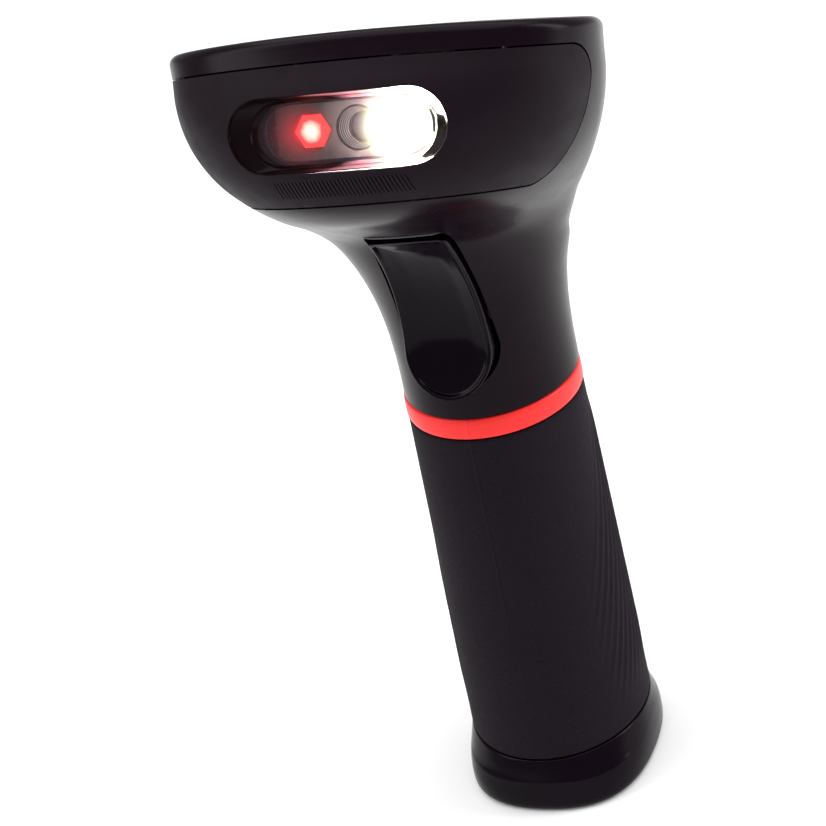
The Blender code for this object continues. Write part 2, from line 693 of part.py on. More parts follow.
def trigger_spring():
    """A torsion spring round the pin, one leg to the trigger and one to the web."""
    steps, total, coil = 8, 26, 1.75
    points = [(3.55, PIVOT_Y + 1.5, PIVOT_Z - 6.8)]
    for i in range(total + 1):
        angle = pi + tau * i / steps
        x = 3.55 + 1.9 * i / total
        points.append((x, PIVOT_Y + coil * cos(angle), PIVOT_Z + coil * sin(angle)))
    points.append((5.45, PIVOT_Y + 6, PIVOT_Z - 1.8))
    points.append((5.45, BRACKET_WEB_Y - 0.7, PIVOT_Z - 1.8))
    tube("trigger_spring", points, 0.22, STEEL)


# ---------------------------------------------------------------- handle


def handle_section(z, inset=0.0):
    """The handle's oval at height z, drawn in by an inset."""
    t = (z - FOOT_SEAM_Z) / (RING_BOTTOM_Z - FOOT_SEAM_Z)
    half_x = HANDLE_BOTTOM[0] + (HANDLE_TOP[0] - HANDLE_BOTTOM[0]) * t - inset
    half_y = HANDLE_BOTTOM[1] + (HANDLE_TOP[1] - HANDLE_BOTTOM[1]) * t - inset
    return [(x, y, z) for x, y in outline(-half_y, 0, half_y, half_x, OVAL)]


def handle_sleeve(name, low, high, inset, thickness, look, steps=1):
    rings = [handle_section(low + (high - low) * i / steps, inset) for i in range(steps + 1)]
    obj = make(name, loft(rings, False, False), look)
    solidify(obj, thickness)
    return obj


def handle_core():
    """The rigid tube inside the grip, with bosses for the foot screws."""
    obj = handle_sleeve("handle_core", FOOT_SEAM_Z + GAP, 90.8, 2.7, 1.8, INNER, 2)
    inside = make("core_solid", loft([handle_section(z, 2.4) for z in (0.0, 95.0)]))
    for side in (-1, 1):
        boss = make(f"foot_boss_{side}", rod(2.8, (side * 11.6, 0, 12.0), (side * 11.6, 0, 20.0)))
        boolean(boss, "INTERSECT", inside)
        boolean(obj, "UNION", boss)
        pilot = rod(SCREW_RADIUS, (side * 11.6, 0, 8), (side * 11.6, 0, 19), sides=12)
        cut(obj, make(f"foot_pilot_{side}", pilot))


def foot_cap():
    """A shallow cup: flared side with a soft ridge, rounded lower edge, flat floor."""
    rings = []
    for z, half_x, front, rear, share in FOOT:
        points = outline(front, 0, rear, half_x, blended(share, SQUARE))
        rings.append([(x, y, z) for x, y in points])
    obj = make("foot_cap", loft(rings, cap_start=False), BLACK_GLOSS)
    solidify(obj, WALL)
    for number, side in enumerate((-1, 1), start=1):
        spot = side * 11.6
        post = rod(3.6, (spot, 0, 0.6), (spot, 0, 10.5))
        inner = make(f"foot_post_{side}", post)
        boolean(inner, "INTERSECT", make(f"foot_inside_{side}", box((-15.6, -19, 0), (15.6, 19, 12))))
        boolean(obj, "UNION", inner)
        bore = rod(HEAD_RADIUS + 0.4, (spot, 0, -3), (spot, 0, 2.0))
        hole = rod(SCREW_RADIUS + GAP, (spot, 0, -3), (spot, 0, 20), sides=12)
        cut(obj, make(f"foot_bore_{side}", bore), make(f"foot_hole_{side}", hole))
        screw(f"foot_screw_{number}", (spot, 0, 1.7), (0, 0, 1), 15.0, radius=0.85)
        pad = make(f"charge_contact_{number}", rod(1.5, (side * 4, -10, 0.2), (side * 4, -10, 5.5)), BRASS)
        pad.data.shade_smooth()
        cut(obj, make(f"contact_hole_{side}", rod(1.85, (side * 4, -10, -3), (side * 4, -10, 4))))
    socket_hole = box((-4.9, 8.1, -2), (4.9, 11.9, 4))
    cut(obj, make("socket_hole", socket_hole))
    socket = make("charge_socket", box((-4.5, 8.5, 0.3), (4.5, 11.5, 5.5)), STEEL)
    cut(socket, make("socket_mouth", box((-4.0, 9.0, -2), (4.0, 11.0, 4.8))))
    board = [(7.4, -15), (7.4, 15), (-7.4, 15), (-7.4, -15)]
    make("charge_board", prism(board, "Z", 5.8, 7.0), BOARD)


def battery():
    top = CELL_BOTTOM_Z + CELL_LENGTH
    shape = ((CELL_RADIUS - 0.5, CELL_BOTTOM_Z), (CELL_RADIUS, CELL_BOTTOM_Z + 0.5))
    shape += ((CELL_RADIUS, top - 1.8), (CELL_RADIUS - 0.7, top - 1.1), (3.2, top - 1.1), (3.0, top))
    make("battery_cell", turned(shape, sides=28), CELL)
    cap = [(-6, top + 0.3), (6, top + 0.3), (6, top + 0.7), (-6, top + 0.7)]
    make("battery_top_contact", prism(cap, "Y", -3, 3), BRASS)
    points = []
    for i in range(31):
        angle = tau * i / 10
        radius = 6.0 - 2.5 * i / 30
        z = 8.0 + (CELL_BOTTOM_Z - 1.0 - 8.0) * i / 30
        points.append((radius * cos(angle), radius * sin(angle), z))
    tube("battery_spring", points, 0.4, STEEL)


front_housing()
rear_cover()
housing_screws()
nose_bezel()
window_parts()
engine()
head_electronics()
trigger()
trigger_fittings()
trigger_spring()
handle_sleeve("grip_sleeve", FOOT_SEAM_Z + GAP, RING_BOTTOM_Z - GAP, 0.0, 2.0, RUBBER, 3)
handle_sleeve("accent_ring", RING_BOTTOM_Z, RING_TOP_Z, -0.15, 2.1, CORAL)
handle_core()
foot_cap()
battery()
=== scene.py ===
"""Looks of the handheld imager scanner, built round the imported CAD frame.

Lengths in the tables below are in millimetres, as on the part's drawings, and to_metres()
turns them into metres. World axes: +Z up the handle, -Y forward, X = 0 the plane of
symmetry, and the origin in the middle of the foot's underside. The head's own frame is
tilted back about X, and its level 0 is the top edge of the nose bezel.
"""

import json
from math import cos, pi, radians, sin, tau

import bmesh
import bpy
import numpy as np
from mathutils import Matrix, Vector


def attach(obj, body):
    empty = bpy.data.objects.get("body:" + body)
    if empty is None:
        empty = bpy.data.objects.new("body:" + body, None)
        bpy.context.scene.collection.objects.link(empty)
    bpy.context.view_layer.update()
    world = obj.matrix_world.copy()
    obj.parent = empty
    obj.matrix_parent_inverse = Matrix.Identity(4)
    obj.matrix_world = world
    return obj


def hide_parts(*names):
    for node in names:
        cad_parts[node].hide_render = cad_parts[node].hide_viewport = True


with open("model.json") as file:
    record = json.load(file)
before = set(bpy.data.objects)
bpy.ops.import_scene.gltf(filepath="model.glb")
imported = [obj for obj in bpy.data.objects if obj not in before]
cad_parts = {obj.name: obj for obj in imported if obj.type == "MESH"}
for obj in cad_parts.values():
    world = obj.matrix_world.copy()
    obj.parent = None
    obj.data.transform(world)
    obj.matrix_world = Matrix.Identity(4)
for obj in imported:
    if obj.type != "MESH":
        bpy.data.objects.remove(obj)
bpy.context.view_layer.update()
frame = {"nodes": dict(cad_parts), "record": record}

MM = 0.001

# ---------------------------------------------------------------- the object's dimensions

FOOT_SEAM_Z = 11.0
RING_BOTTOM_Z = 82.5
RING_TOP_Z = 86.5
HEAD_DATUM_Z = 151.0
HEAD_TILT = 20.0
HANDLE_TOP = (16.65, 18.2)
HANDLE_BOTTOM = (18.05, 20.8)
GAP = 0.3
WALL = 2.2
MID_WALL = 1.0
SPLIT_Y = 8.0

BEZEL_BACK_Y = -22.0
BEZEL_BOTTOM = -23.0
BEZEL_TOP_RADIUS = 6.5
BEZEL_BOTTOM_RADIUS = 3.0
HEAD_SIDE_SAG = 1.0
HEAD_REAR_DROP = 5.0
HEAD_HALF = 36.8
HEAD_DEPTH_BEHIND = 59.0

WINDOW_LEVEL = -11.0
RIM_SIZE = (37.3, 12.0)
RIM_SHIFT = -0.6
THROAT_SIZE = (30.2, 10.1)
THROAT_Y = -41.2
ENGINE_FRONT_Y = -34.7
LED_PITCH = 8.0

GROOVES = 34
GROOVE_PITCH = 0.69
GROOVE_FIRST_X = -11.9
GROOVE_LEVELS = (-21.4, -18.6)
GROOVE_WIDTH = 0.34
GROOVE_DEPTH = 0.22
GROOVE_SLANT = 0.75
# Small marks under the window: x, level, radius
PIPS = ((6.4, -17.9, 0.42), (-6.4, -17.9, 0.24), (-6.0, -18.15, 0.2))

PIVOT_Y = -18.5
PIVOT_Z = 123.3
TRIGGER_TOP_Z = 127.5
TRIGGER_TOP_Y = -27.9
TRIGGER_BOTTOM_Z = 93.2
TRIGGER_HALF = (7.1, 8.2)
TRIGGER_SLOT_GAP = 0.65
TRIGGER_TOP_GAP = 1.5
TRIGGER_THICKNESS = 2.5
PLUNGER_Z = 109.5
PLUNGER_Y = -14.0
SLOT_BACK_Y = -9.0
CHIMNEY_BACK_Y = -10.5
CHIMNEY_WALL = 1.1
LEDGE_HALF = 7.0
LEDGE_RADIUS = 0.3

SLEEVE_WALL = 2.0
SLEEVE_ROWS = 104
SLEEVE_SEAM = 0.09
RING_SEAM = 0.07
RIB_PITCH = 2.2
RIB_HEIGHT = 0.28
RIB_SLANT = 0.42
RIB_MIDDLE_Z = 46
RIB_RADIUS = 18.6

SCREW_RADIUS = 1.0
SCREW_HEAD_RADIUS = 2.2
FOOT_SCREW_X = 11.6
SIDE_BOLTS = ((16.8, 131.7), (10.8, 101.0))

# Neck sections: height on the handle axis, tilt, front, widest line, rear, half width
NECK = (
    (RING_TOP_Z + GAP, 0.0, -18.0, 0.4, 18.0, 16.6),
    (94.0, 1.0, -18.3, 0.6, 18.2, 16.6),
    (101.0, 4.0, -19.0, 0.6, 18.6, 17.0),
    (108.0, 9.0, -20.6, 0.0, 18.8, 18.2),
    (113.5, 15.0, -24.0, -1.5, 19.1, 19.9),
)
# Head sections: level, front, widest line, rear, half width, share of the head's own outline
HEAD = (
    (-32.0, -16.5, 6.5, 31.3, 21.3, 0.15),
    (-29.0, -25.0, 4.0, 31.4, 23.1, 0.4),
    (-26.0, -36.5, 0.0, 31.8, 25.4, 0.7),
    (-23.0, -41.5, -4.5, 32.3, 28.2, 0.9),
    (-18.5, -44.6, -10.5, 33.4, 31.9, 1.0),
    (-14.0, -45.8, -14.0, 34.8, 34.4, 1.0),
    (-9.0, -46.2, -16.0, 35.9, 36.0, 1.0),
    (-4.5, -45.4, -17.2, 36.6, 36.7, 1.0),
    (0.0, -43.8, -18.2, 37.0, 36.9, 1.0),
    (2.9, -43.1, -18.8, 36.8, 37.1, 1.0),
)
TOP_FILLET = 1.7
# How full each quarter of an outline is: front width, front depth, rear depth, rear width
OVAL = (0.552, 0.552, 0.552, 0.552)
FAN = (0.66, 0.70, 0.27, 0.48)
SQUARE = (0.78, 0.78, 0.78, 0.78)

# Foot sections: height, half width, front, rear, how square
FOOT = (
    (FOOT_SEAM_Z, 18.05, -20.8, 20.8, 0.0),
    (9.2, 18.3, -21.5, 20.75, 0.2),
    (7.2, 18.6, -22.2, 20.7, 0.4),
    (6.6, 18.65, -22.4, 20.7, 0.5),
    (6.0, 18.7, -22.45, 20.7, 0.56),
    (3.0, 18.8, -23.0, 20.7, 0.66),
    (1.0, 18.6, -22.8, 20.5, 0.66),
    (0.25, 18.0, -22.2, 19.9, 0.66),
    (0.0, 17.0, -21.2, 18.9, 0.66),
)

# Points on each quarter of an outline: front, rear
AROUND = (30, 24)
BODY_STEPS = 5
HALF_CIRCLE_STEPS = 24
BEVEL_SEGMENTS = 2
BEVEL_ANGLE = 38


# Azimuth, elevation and roll in degrees, place in metres and focal length
CAMERA_ANGLES = (22.79, 27.39, 13.23)
CAMERA_PLACE = (0.14063, -0.37609, 0.28974)
CAMERA_LENS = 104.33


# ---------------------------------------------------------------- mesh helpers


def to_metres(name, bm):
    """A new object from a mesh in millimetres, world coordinates."""
    bmesh.ops.scale(bm, verts=bm.verts, vec=(MM, MM, MM))
    bmesh.ops.recalc_face_normals(bm, faces=bm.faces)
    if bm.calc_volume(signed=True) < 0:
        bmesh.ops.reverse_faces(bm, faces=bm.faces)
    mesh = bpy.data.meshes.new(name)
    bm.to_mesh(mesh)
    bm.free()
    obj = bpy.data.objects.new(name, mesh)
    bpy.context.scene.collection.objects.link(obj)
    return obj


def boolean(obj, operation, cutter):
    """Add a Boolean, which applied() works out."""
    modifier = obj.modifiers.new(operation, "BOOLEAN")
    modifier.operation = operation
    modifier.solver = "EXACT"
    modifier.object = cutter


def applied(obj, weld=0.0, bevel=0.0):
    """Apply the object's modifiers, then weld and round its edges, and drop the cutters."""
    cutters = {m.object for m in obj.modifiers if m.type == "BOOLEAN"}
    if weld:
        modifier = obj.modifiers.new("weld", "WELD")
        modifier.merge_threshold = weld * MM
    if bevel:
        modifier = obj.modifiers.new("bevel", "BEVEL")
        modifier.width = bevel * MM
        modifier.segments = BEVEL_SEGMENTS
        modifier.limit_method = "ANGLE"
        modifier.angle_limit = radians(BEVEL_ANGLE)
        modifier.use_clamp_overlap = False
    bpy.context.view_layer.update()
    graph = bpy.context.evaluated_depsgraph_get()
    mesh = bpy.data.meshes.new_from_object(obj.evaluated_get(graph))
    obj.modifiers.clear()
    obj.data = mesh
    for cutter in cutters:
        bpy.data.objects.remove(cutter, do_unlink=True)
    return obj


def shade(obj, angle=32):
    """Smooth shading, with sharp edges wherever faces meet at more than the angle."""
    obj.data.shade_smooth()
    obj.data.set_sharp_from_angle(angle=radians(angle))
    return obj


def merge_ends(obj):
    """Join the points that lie on each other, where a loft meets its own start."""
    bm = bmesh.new()
    bm.from_mesh(obj.data)
    bmesh.ops.remove_doubles(bm, verts=bm.verts, dist=1e-6)
    bm.to_mesh(obj.data)
    bm.free()


def box(low, high):
    """A block between two corners."""
    bm = bmesh.new()
    bmesh.ops.create_cube(bm, size=1)
    low, high = Vector(low), Vector(high)
    bmesh.ops.scale(bm, verts=bm.verts, vec=high - low)
    bmesh.ops.translate(bm, verts=bm.verts, vec=(low + high) / 2)
    return bm


def rod(radius, start, end, sides=40):
    """A round bar between two points."""
    start, end = Vector(start), Vector(end)
    bm = bmesh.new()
    bmesh.ops.create_cone(
        bm,
        cap_ends=True,
        segments=sides,
        radius1=radius,
        radius2=radius,
        depth=(end - start).length,
    )
    turn = (end - start).to_track_quat("Z", "Y").to_matrix().to_4x4()
    bmesh.ops.transform(bm, verts=bm.verts, matrix=Matrix.Translation((start + end) / 2) @ turn)
    return bm


def gather(pieces):
    """Several meshes as one."""
    bm = pieces[0]
    for piece in pieces[1:]:
        mesh = bpy.data.meshes.new("joined")
        piece.to_mesh(mesh)
        piece.free()
        bm.from_mesh(mesh)
        bpy.data.meshes.remove(mesh)
    return bm


def loft(rings, cap_start=True, cap_end=True):
    """A skin through closed rings of points, each with the same number of points."""
    bm = bmesh.new()
    loops = [[bm.verts.new(point) for point in ring] for ring in rings]
    count = len(loops[0])
    for lower, upper in zip(loops, loops[1:]):
        for i in range(count):
            j = (i + 1) % count
            bm.faces.new((lower[i], lower[j], upper[j], upper[i]))
    if cap_start:
        bm.faces.new(list(reversed(loops[0])))
    if cap_end:
        bm.faces.new(loops[-1])
    return bm


def turned(profile, sides=64):
    """A solid turned about Z from (radius, z) points; a radius of 0 closes it at the axis."""
    rings = []
    for radius, z in profile:
        angles = [tau * i / sides for i in range(sides)]
        rings.append([(radius * cos(a), radius * sin(a), z) for a in angles])
    bm = loft(rings, cap_start=profile[0][0] > 0, cap_end=profile[-1][0] > 0)
    bmesh.ops.remove_doubles(bm, verts=bm.verts, dist=1e-4)
    return bm


def prism(outline, axis, low, high):
    """A flat outline pushed along Y, as (x, z) points, or along Z, as (x, y) points."""
    if axis == "Y":
        return loft([[(a, c, b) for a, b in outline] for c in (low, high)])
    return loft([[(a, b, c) for a, b in outline] for c in (low, high)])


def arc(cx, cy, radius, start, end, steps):
    """Points on a circle from one angle to another, in degrees."""
    angles = [radians(start + (end - start) * i / steps) for i in range(steps + 1)]
    return [(cx + radius * cos(a), cy + radius * sin(a)) for a in angles]


def stadium(width, height, level):
    """A slot-shaped outline, round at both ends, centred on x = 0 at a level."""
    radius = height / 2
    half = width / 2 - radius
    right = arc(half, level, radius, -90, 90, HALF_CIRCLE_STEPS)
    return right + arc(-half, level, radius, 90, 270, HALF_CIRCLE_STEPS)


def bezier(a, b, c, d, t):
    """A cubic curve's value at t, from a at 0 to d at 1."""
    s = 1 - t
    return a * s**3 + 3 * b * s * s * t + 3 * c * s * t * t + d * t**3


def smooth(low, high, value):
    """0 below low, 1 above high, and an S-shaped curve between."""
    t = min(1.0, max(0.0, (value - low) / (high - low)))
    return t * t * (3 - 2 * t)


# ---------------------------------------------------------------- the body's surface


def outline(front, wide, rear, half, fullness, around=AROUND):
    """A closed plan outline of (x, y) points, mirrored about x = 0, starting at the front."""
    front_width, front_depth, rear_depth, rear_width = fullness
    right = []
    for i in range(around[0] + 1):
        t = i / around[0]
        x = bezier(0, front_width * half, half, half, t)
        y = bezier(front, front, wide + front_depth * (front - wide), wide, t)
        right.append((x, y))
    for i in range(1, around[1] + 1):
        t = i / around[1]
        x = bezier(half, half, rear_width * half, 0, t)
        y = bezier(wide, wide + rear_depth * (rear - wide), rear, rear, t)
        right.append((x, y))
    left = [(-x, y) for x, y in reversed(right[1:-1])]
    return right + left


def blended(share, other=FAN):
    """The fullness of an outline between the plain oval and another shape."""
    return [a + (b - a) * share for a, b in zip(OVAL, other)]


def arched(x, y, level):
    """A point of the head, lowered a little towards the sides and the rear near the top."""
    weight = max(0.0, 1 + level / 12)
    side = HEAD_SIDE_SAG * (x / HEAD_HALF) ** 2
    rear = HEAD_REAR_DROP * (max(0.0, y - BEZEL_BACK_Y) / HEAD_DEPTH_BEHIND) ** 2
    return Vector((x, y, level - weight * (side + rear)))


HEAD_FRAME = Matrix.Translation((0, 0, HEAD_DATUM_Z)) @ Matrix.Rotation(
    radians(-HEAD_TILT), 4, "X"
)


def tilted(bm):
    """Move a mesh from the head's frame to world axes."""
    bmesh.ops.transform(bm, verts=bm.verts, matrix=HEAD_FRAME)
    return bm


def refined(rings, steps):
    """Smooth curves through the rings, point by point, with more rings between them."""
    points = np.array(rings, float)
    delta = np.diff(points, axis=0)
    length = np.linalg.norm(delta, axis=2, keepdims=True) + 1e-9
    slope = delta / length
    tangent = np.empty_like(points)
    tangent[0], tangent[-1] = slope[0], slope[-1]
    before, after = length[:-1], length[1:]
    tangent[1:-1] = (slope[:-1] * after + slope[1:] * before) / (before + after)
    made = []
    for i in range(len(points) - 1):
        for k in range(steps):
            t = k / steps
            start = 2 * t**3 - 3 * t**2 + 1
            leave = (t**3 - 2 * t**2 + t) * length[i]
            arrive = (t**3 - t**2) * length[i]
            made.append(
                start * points[i]
                + (1 - start) * points[i + 1]
                + leave * tangent[i]
                + arrive * tangent[i + 1]
            )
    made.append(points[-1])
    return [[tuple(point) for point in ring] for ring in made]


def body_rings(inset=0.0, lower=0.0, steps=BODY_STEPS):
    """The housing's surface as rings from the neck to the middle of the top."""
    rings = []
    for height, tilt, front, wide, rear, half in NECK:
        turn = Matrix.Translation((0, 0, height)) @ Matrix.Rotation(radians(-tilt), 4, "X")
        points = outline(front + inset, wide, rear - inset, half - inset, OVAL)
        rings.append([turn @ Vector((x, y, 0)) for x, y in points])
    for level, front, wide, rear, half, share in HEAD:
        points = outline(front + inset, wide, rear - inset, half - inset, blended(share))
        drop = lower * smooth(-12, 0, level)
        rings.append([HEAD_FRAME @ arched(x, y, level - drop) for x, y in points])
    rings = refined(rings, steps)
    level, front, wide, rear, half, share = HEAD[-1]
    for i in range(1, 7):
        angle = pi / 2 * i / 6
        drawn = inset + TOP_FILLET * (1 - cos(angle))
        high = level - lower + TOP_FILLET * sin(angle)
        points = outline(front + drawn, wide, rear - drawn, half - drawn, FAN)
        rings.append([HEAD_FRAME @ arched(x, y, high) for x, y in points])
    middle = (front + rear) / 2
    for scale in (0.94, 0.8, 0.6, 0.4, 0.2, 0.06):
        shrunk = [(x * scale, middle + (y - middle) * scale) for x, y in points]
        rings.append([HEAD_FRAME @ arched(x, y, high) for x, y in shrunk])
    return rings


def body_shell(name):
    """The whole housing wall as one hollow skin, open at the neck."""
    outer = body_rings()
    inner = body_rings(inset=WALL, lower=WALL)
    inner[0] = [(x, y, outer[0][0][2]) for x, y, z in inner[0]]
    bm = loft(inner[::-1] + outer, cap_start=True, cap_end=True)
    return to_metres(name, bm)


def bezel_region(name, grow):
    """The bezel's share of the head; its top edge follows the head's slight arch."""
    back = BEZEL_BACK_Y + grow
    bottom = BEZEL_BOTTOM - grow
    high = arc(back - BEZEL_TOP_RADIUS, grow - BEZEL_TOP_RADIUS, BEZEL_TOP_RADIUS, 90, 0, 14)
    low_y = back - BEZEL_BOTTOM_RADIUS
    low = arc(low_y, bottom + BEZEL_BOTTOM_RADIUS, BEZEL_BOTTOM_RADIUS, 0, -90, 10)
    profile = [(-70.0, grow)] + high + low + [(-70.0, bottom)]
    rings = []
    for i in range(-12, 13):
        x = 4.5 * i
        rings.append([arched(x, y, level) for y, level in profile])
    return to_metres(name, tilted(loft(rings)))


def bezel_front(x, level):
    """How far forward the nose's surface stands in the head frame at x and a level."""
    for lower, upper in zip(HEAD, HEAD[1:]):
        if lower[0] <= level <= upper[0]:
            break
    t = (level - lower[0]) / (upper[0] - lower[0])
    front, wide, half = (lower[k] + (upper[k] - lower[k]) * t for k in (1, 2, 4))
    points = outline(front, wide, 30, half, FAN, (60, 4))[:61]
    for near, far in zip(points, points[1:]):
        if near[0] <= abs(x) <= far[0]:
            share = (abs(x) - near[0]) / (far[0] - near[0])
            return near[1] + (far[1] - near[1]) * share
    return wide


# ---------------------------------------------------------------- materials


def shader(name):
    """A new material, its node tree and its Principled node."""
    material = bpy.data.materials.new(name)
    material.use_nodes = True
    tree = material.node_tree
    return material, tree, tree.nodes["Principled BSDF"]


def noise(tree, scale, detail=3.0, roughness=0.55, stretch=None):
    """Object-space noise, whose scale is in waves per metre."""
    where = tree.nodes.new("ShaderNodeTexCoord").outputs["Object"]
    if stretch is not None:
        mapping = tree.nodes.new("ShaderNodeMapping")
        mapping.inputs["Scale"].default_value = stretch
        tree.links.new(where, mapping.inputs["Vector"])
        where = mapping.outputs["Vector"]
    made = tree.nodes.new("ShaderNodeTexNoise")
    made.inputs["Scale"].default_value = scale
    made.inputs["Detail"].default_value = detail
    made.inputs["Roughness"].default_value = roughness
    tree.links.new(where, made.inputs["Vector"])
    return made.outputs["Fac"]


def spread(tree, value, low, high, start=0.3, end=0.7):
    """Map a value's start to low and its end to high."""
    made = tree.nodes.new("ShaderNodeMapRange")
    made.inputs["From Min"].default_value = start
    made.inputs["From Max"].default_value = end
    made.inputs["To Min"].default_value = low
    made.inputs["To Max"].default_value = high
    tree.links.new(value, made.inputs["Value"])
    return made.outputs["Result"]


def mixed(tree, share, first, second):
    """A colour between two colours; each is a tuple or another node's output."""
    made = tree.nodes.new("ShaderNodeMix")
    made.data_type = "RGBA"
    tree.links.new(share, made.inputs["Factor"])
    for socket, colour in ((made.inputs[6], first), (made.inputs[7], second)):
        if isinstance(colour, tuple):
            socket.default_value = (*colour, 1)
        else:
            tree.links.new(colour, socket)
    return made.outputs[2]


def bumped(tree, bsdf, heights):
    """Bump from (height output, depth in millimetres) pairs, the coarsest first."""
    normal = None
    for height, depth in heights:
        made = tree.nodes.new("ShaderNodeBump")
        made.inputs["Distance"].default_value = depth * MM
        made.inputs["Strength"].default_value = 1.0
        tree.links.new(height, made.inputs["Height"])
        if normal is not None:
            tree.links.new(normal, made.inputs["Normal"])
        normal = made.outputs["Normal"]
    tree.links.new(normal, bsdf.inputs["Normal"])


def plastic(name, colour, rough, grain=2600, depth=0.004, specular=0.5, coat=0.0, light=1.25):
    """Moulded plastic: faint cloudiness, a fine moulded grain and uneven polish."""
    material, tree, bsdf = shader(name)
    cloud = noise(tree, 60, 4)
    pale = tuple(min(1.0, c * light) for c in colour)
    dark = tuple(c / light for c in colour)
    tree.links.new(mixed(tree, spread(tree, cloud, 0, 1), dark, pale), bsdf.inputs["Base Color"])
    polish = noise(tree, 190, 3)
    tree.links.new(spread(tree, polish, rough * 0.88, rough * 1.12), bsdf.inputs["Roughness"])
    bsdf.inputs["Specular IOR Level"].default_value = specular
    bsdf.inputs["Coat Weight"].default_value = coat
    bsdf.inputs["Coat Roughness"].default_value = 0.06
    wave = noise(tree, 45, 2)
    fine = noise(tree, grain, 2)
    bumped(tree, bsdf, ((wave, 0.02), (fine, depth)))
    return material


def rubber(name, colour, rough):
    """Matte rubber: fine speckled grain with a few paler specks."""
    material, tree, bsdf = shader(name)
    speck = noise(tree, 1900, 2, 0.7)
    cloud = noise(tree, 35, 4)
    base = mixed(tree, spread(tree, cloud, 0, 1), colour, tuple(c * 1.35 for c in colour))
    pale = tuple(c * 5 for c in colour)
    bright = mixed(tree, spread(tree, speck, 0, 0.6, 0.58, 0.8), base, pale)
    tree.links.new(bright, bsdf.inputs["Base Color"])
    tree.links.new(spread(tree, speck, rough, rough * 1.25), bsdf.inputs["Roughness"])
    bsdf.inputs["Specular IOR Level"].default_value = 0.12
    grain = noise(tree, 1300, 3, 0.7)
    bumped(tree, bsdf, ((cloud, 0.03), (grain, 0.05)))
    return material


def metal(name, colour, rough):
    """Plated or brushed metal, with fine scratches along one direction."""
    material, tree, bsdf = shader(name)
    line = noise(tree, 700, 3, 0.6, (1, 1, 12))
    cloud = noise(tree, 150, 3)
    dull = tuple(c * 0.72 for c in colour)
    tree.links.new(mixed(tree, spread(tree, cloud, 0, 1), colour, dull), bsdf.inputs["Base Color"])
    bsdf.inputs["Metallic"].default_value = 1.0
    tree.links.new(spread(tree, line, rough * 0.75, rough * 1.3), bsdf.inputs["Roughness"])
    bumped(tree, bsdf, ((line, 0.004),))
    return material


def board(name, mask, copper):
    """Circuit board: solder mask over faint traces and pads."""
    material, tree, bsdf = shader(name)
    where = tree.nodes.new("ShaderNodeTexCoord").outputs["Object"]
    trace = tree.nodes.new("ShaderNodeTexBrick")
    trace.inputs["Scale"].default_value = 240
    trace.inputs["Mortar Size"].default_value = 0.035
    trace.inputs["Color1"].default_value = (0, 0, 0, 1)
    trace.inputs["Color2"].default_value = (0.12, 0.12, 0.12, 1)
    trace.inputs["Mortar"].default_value = (1, 1, 1, 1)
    tree.links.new(where, trace.inputs["Vector"])
    line = tree.nodes.new("ShaderNodeSeparateColor")
    tree.links.new(trace.outputs["Color"], line.inputs["Color"])
    tree.links.new(mixed(tree, line.outputs["Red"], mask, copper), bsdf.inputs["Base Color"])
    tree.links.new(spread(tree, noise(tree, 300), 0.3, 0.42), bsdf.inputs["Roughness"])
    bumped(tree, bsdf, ((line.outputs["Red"], 0.03),))
    return material


def distance_from(tree, centre):
    """How far the surface is from a point, in metres."""
    where = tree.nodes.new("ShaderNodeTexCoord").outputs["Object"]
    apart = tree.nodes.new("ShaderNodeVectorMath")
    apart.operation = "DISTANCE"
    apart.inputs[1].default_value = tuple(centre)
    tree.links.new(where, apart.inputs[0])
    return apart.outputs["Value"]


def near(tree, centre, reach, power):
    """1 at a centre, falling smoothly to 0 at a reach from it."""
    share = spread(tree, distance_from(tree, centre), 1, 0, 0, reach)
    made = tree.nodes.new("ShaderNodeMath")
    made.operation = "POWER"
    made.inputs[1].default_value = power
    tree.links.new(share, made.inputs[0])
    return made.outputs[0]


def glass(name, colour, alpha, rough=0.03, painted_glare_spots=()):
    """Smoked window: it lets light through and mirrors softly, with faint smears, and the lamps'
    glare painted on as emission round points on the glass.
    """
    material, tree, bsdf = shader(name)
    smear = noise(tree, 90, 4)
    pale = tuple(c * 1.5 for c in colour)
    tree.links.new(mixed(tree, spread(tree, smear, 0, 1), colour, pale), bsdf.inputs["Base Color"])
    bsdf.inputs["Alpha"].default_value = alpha
    tree.links.new(spread(tree, smear, rough, rough * 2.2), bsdf.inputs["Roughness"])
    bsdf.inputs["IOR"].default_value = 1.5
    lit = (0.0, 0.0, 0.0)
    # Painted glare: each spot glows brightest at its centre and fades out at its reach.
    for centre, reach, power, glow in painted_glare_spots:
        lit = mixed(tree, near(tree, centre, reach, power), lit, glow)
    if painted_glare_spots:
        tree.links.new(lit, bsdf.inputs["Emission Color"])
        bsdf.inputs["Emission Strength"].default_value = 1.0
    return material


def glowing(name, centre, core, rim, reach, strength):
    """A lit lens: hottest at its centre and deeper in colour towards its rim."""
    material, tree, bsdf = shader(name)
    cells = noise(tree, 900, 2)
    away = tree.nodes.new("ShaderNodeMath")
    away.operation = "MULTIPLY_ADD"
    tree.links.new(cells, away.inputs[0])
    away.inputs[1].default_value = reach * 0.35
    tree.links.new(distance_from(tree, centre), away.inputs[2])
    share = spread(tree, away.outputs[0], 0, 1, reach * 0.45, reach * 1.25)
    colour = mixed(tree, share, core, rim)
    tree.links.new(colour, bsdf.inputs["Base Color"])
    tree.links.new(colour, bsdf.inputs["Emission Color"])
    bsdf.inputs["Emission Strength"].default_value = strength
    bsdf.inputs["Roughness"].default_value = 0.2
    return material


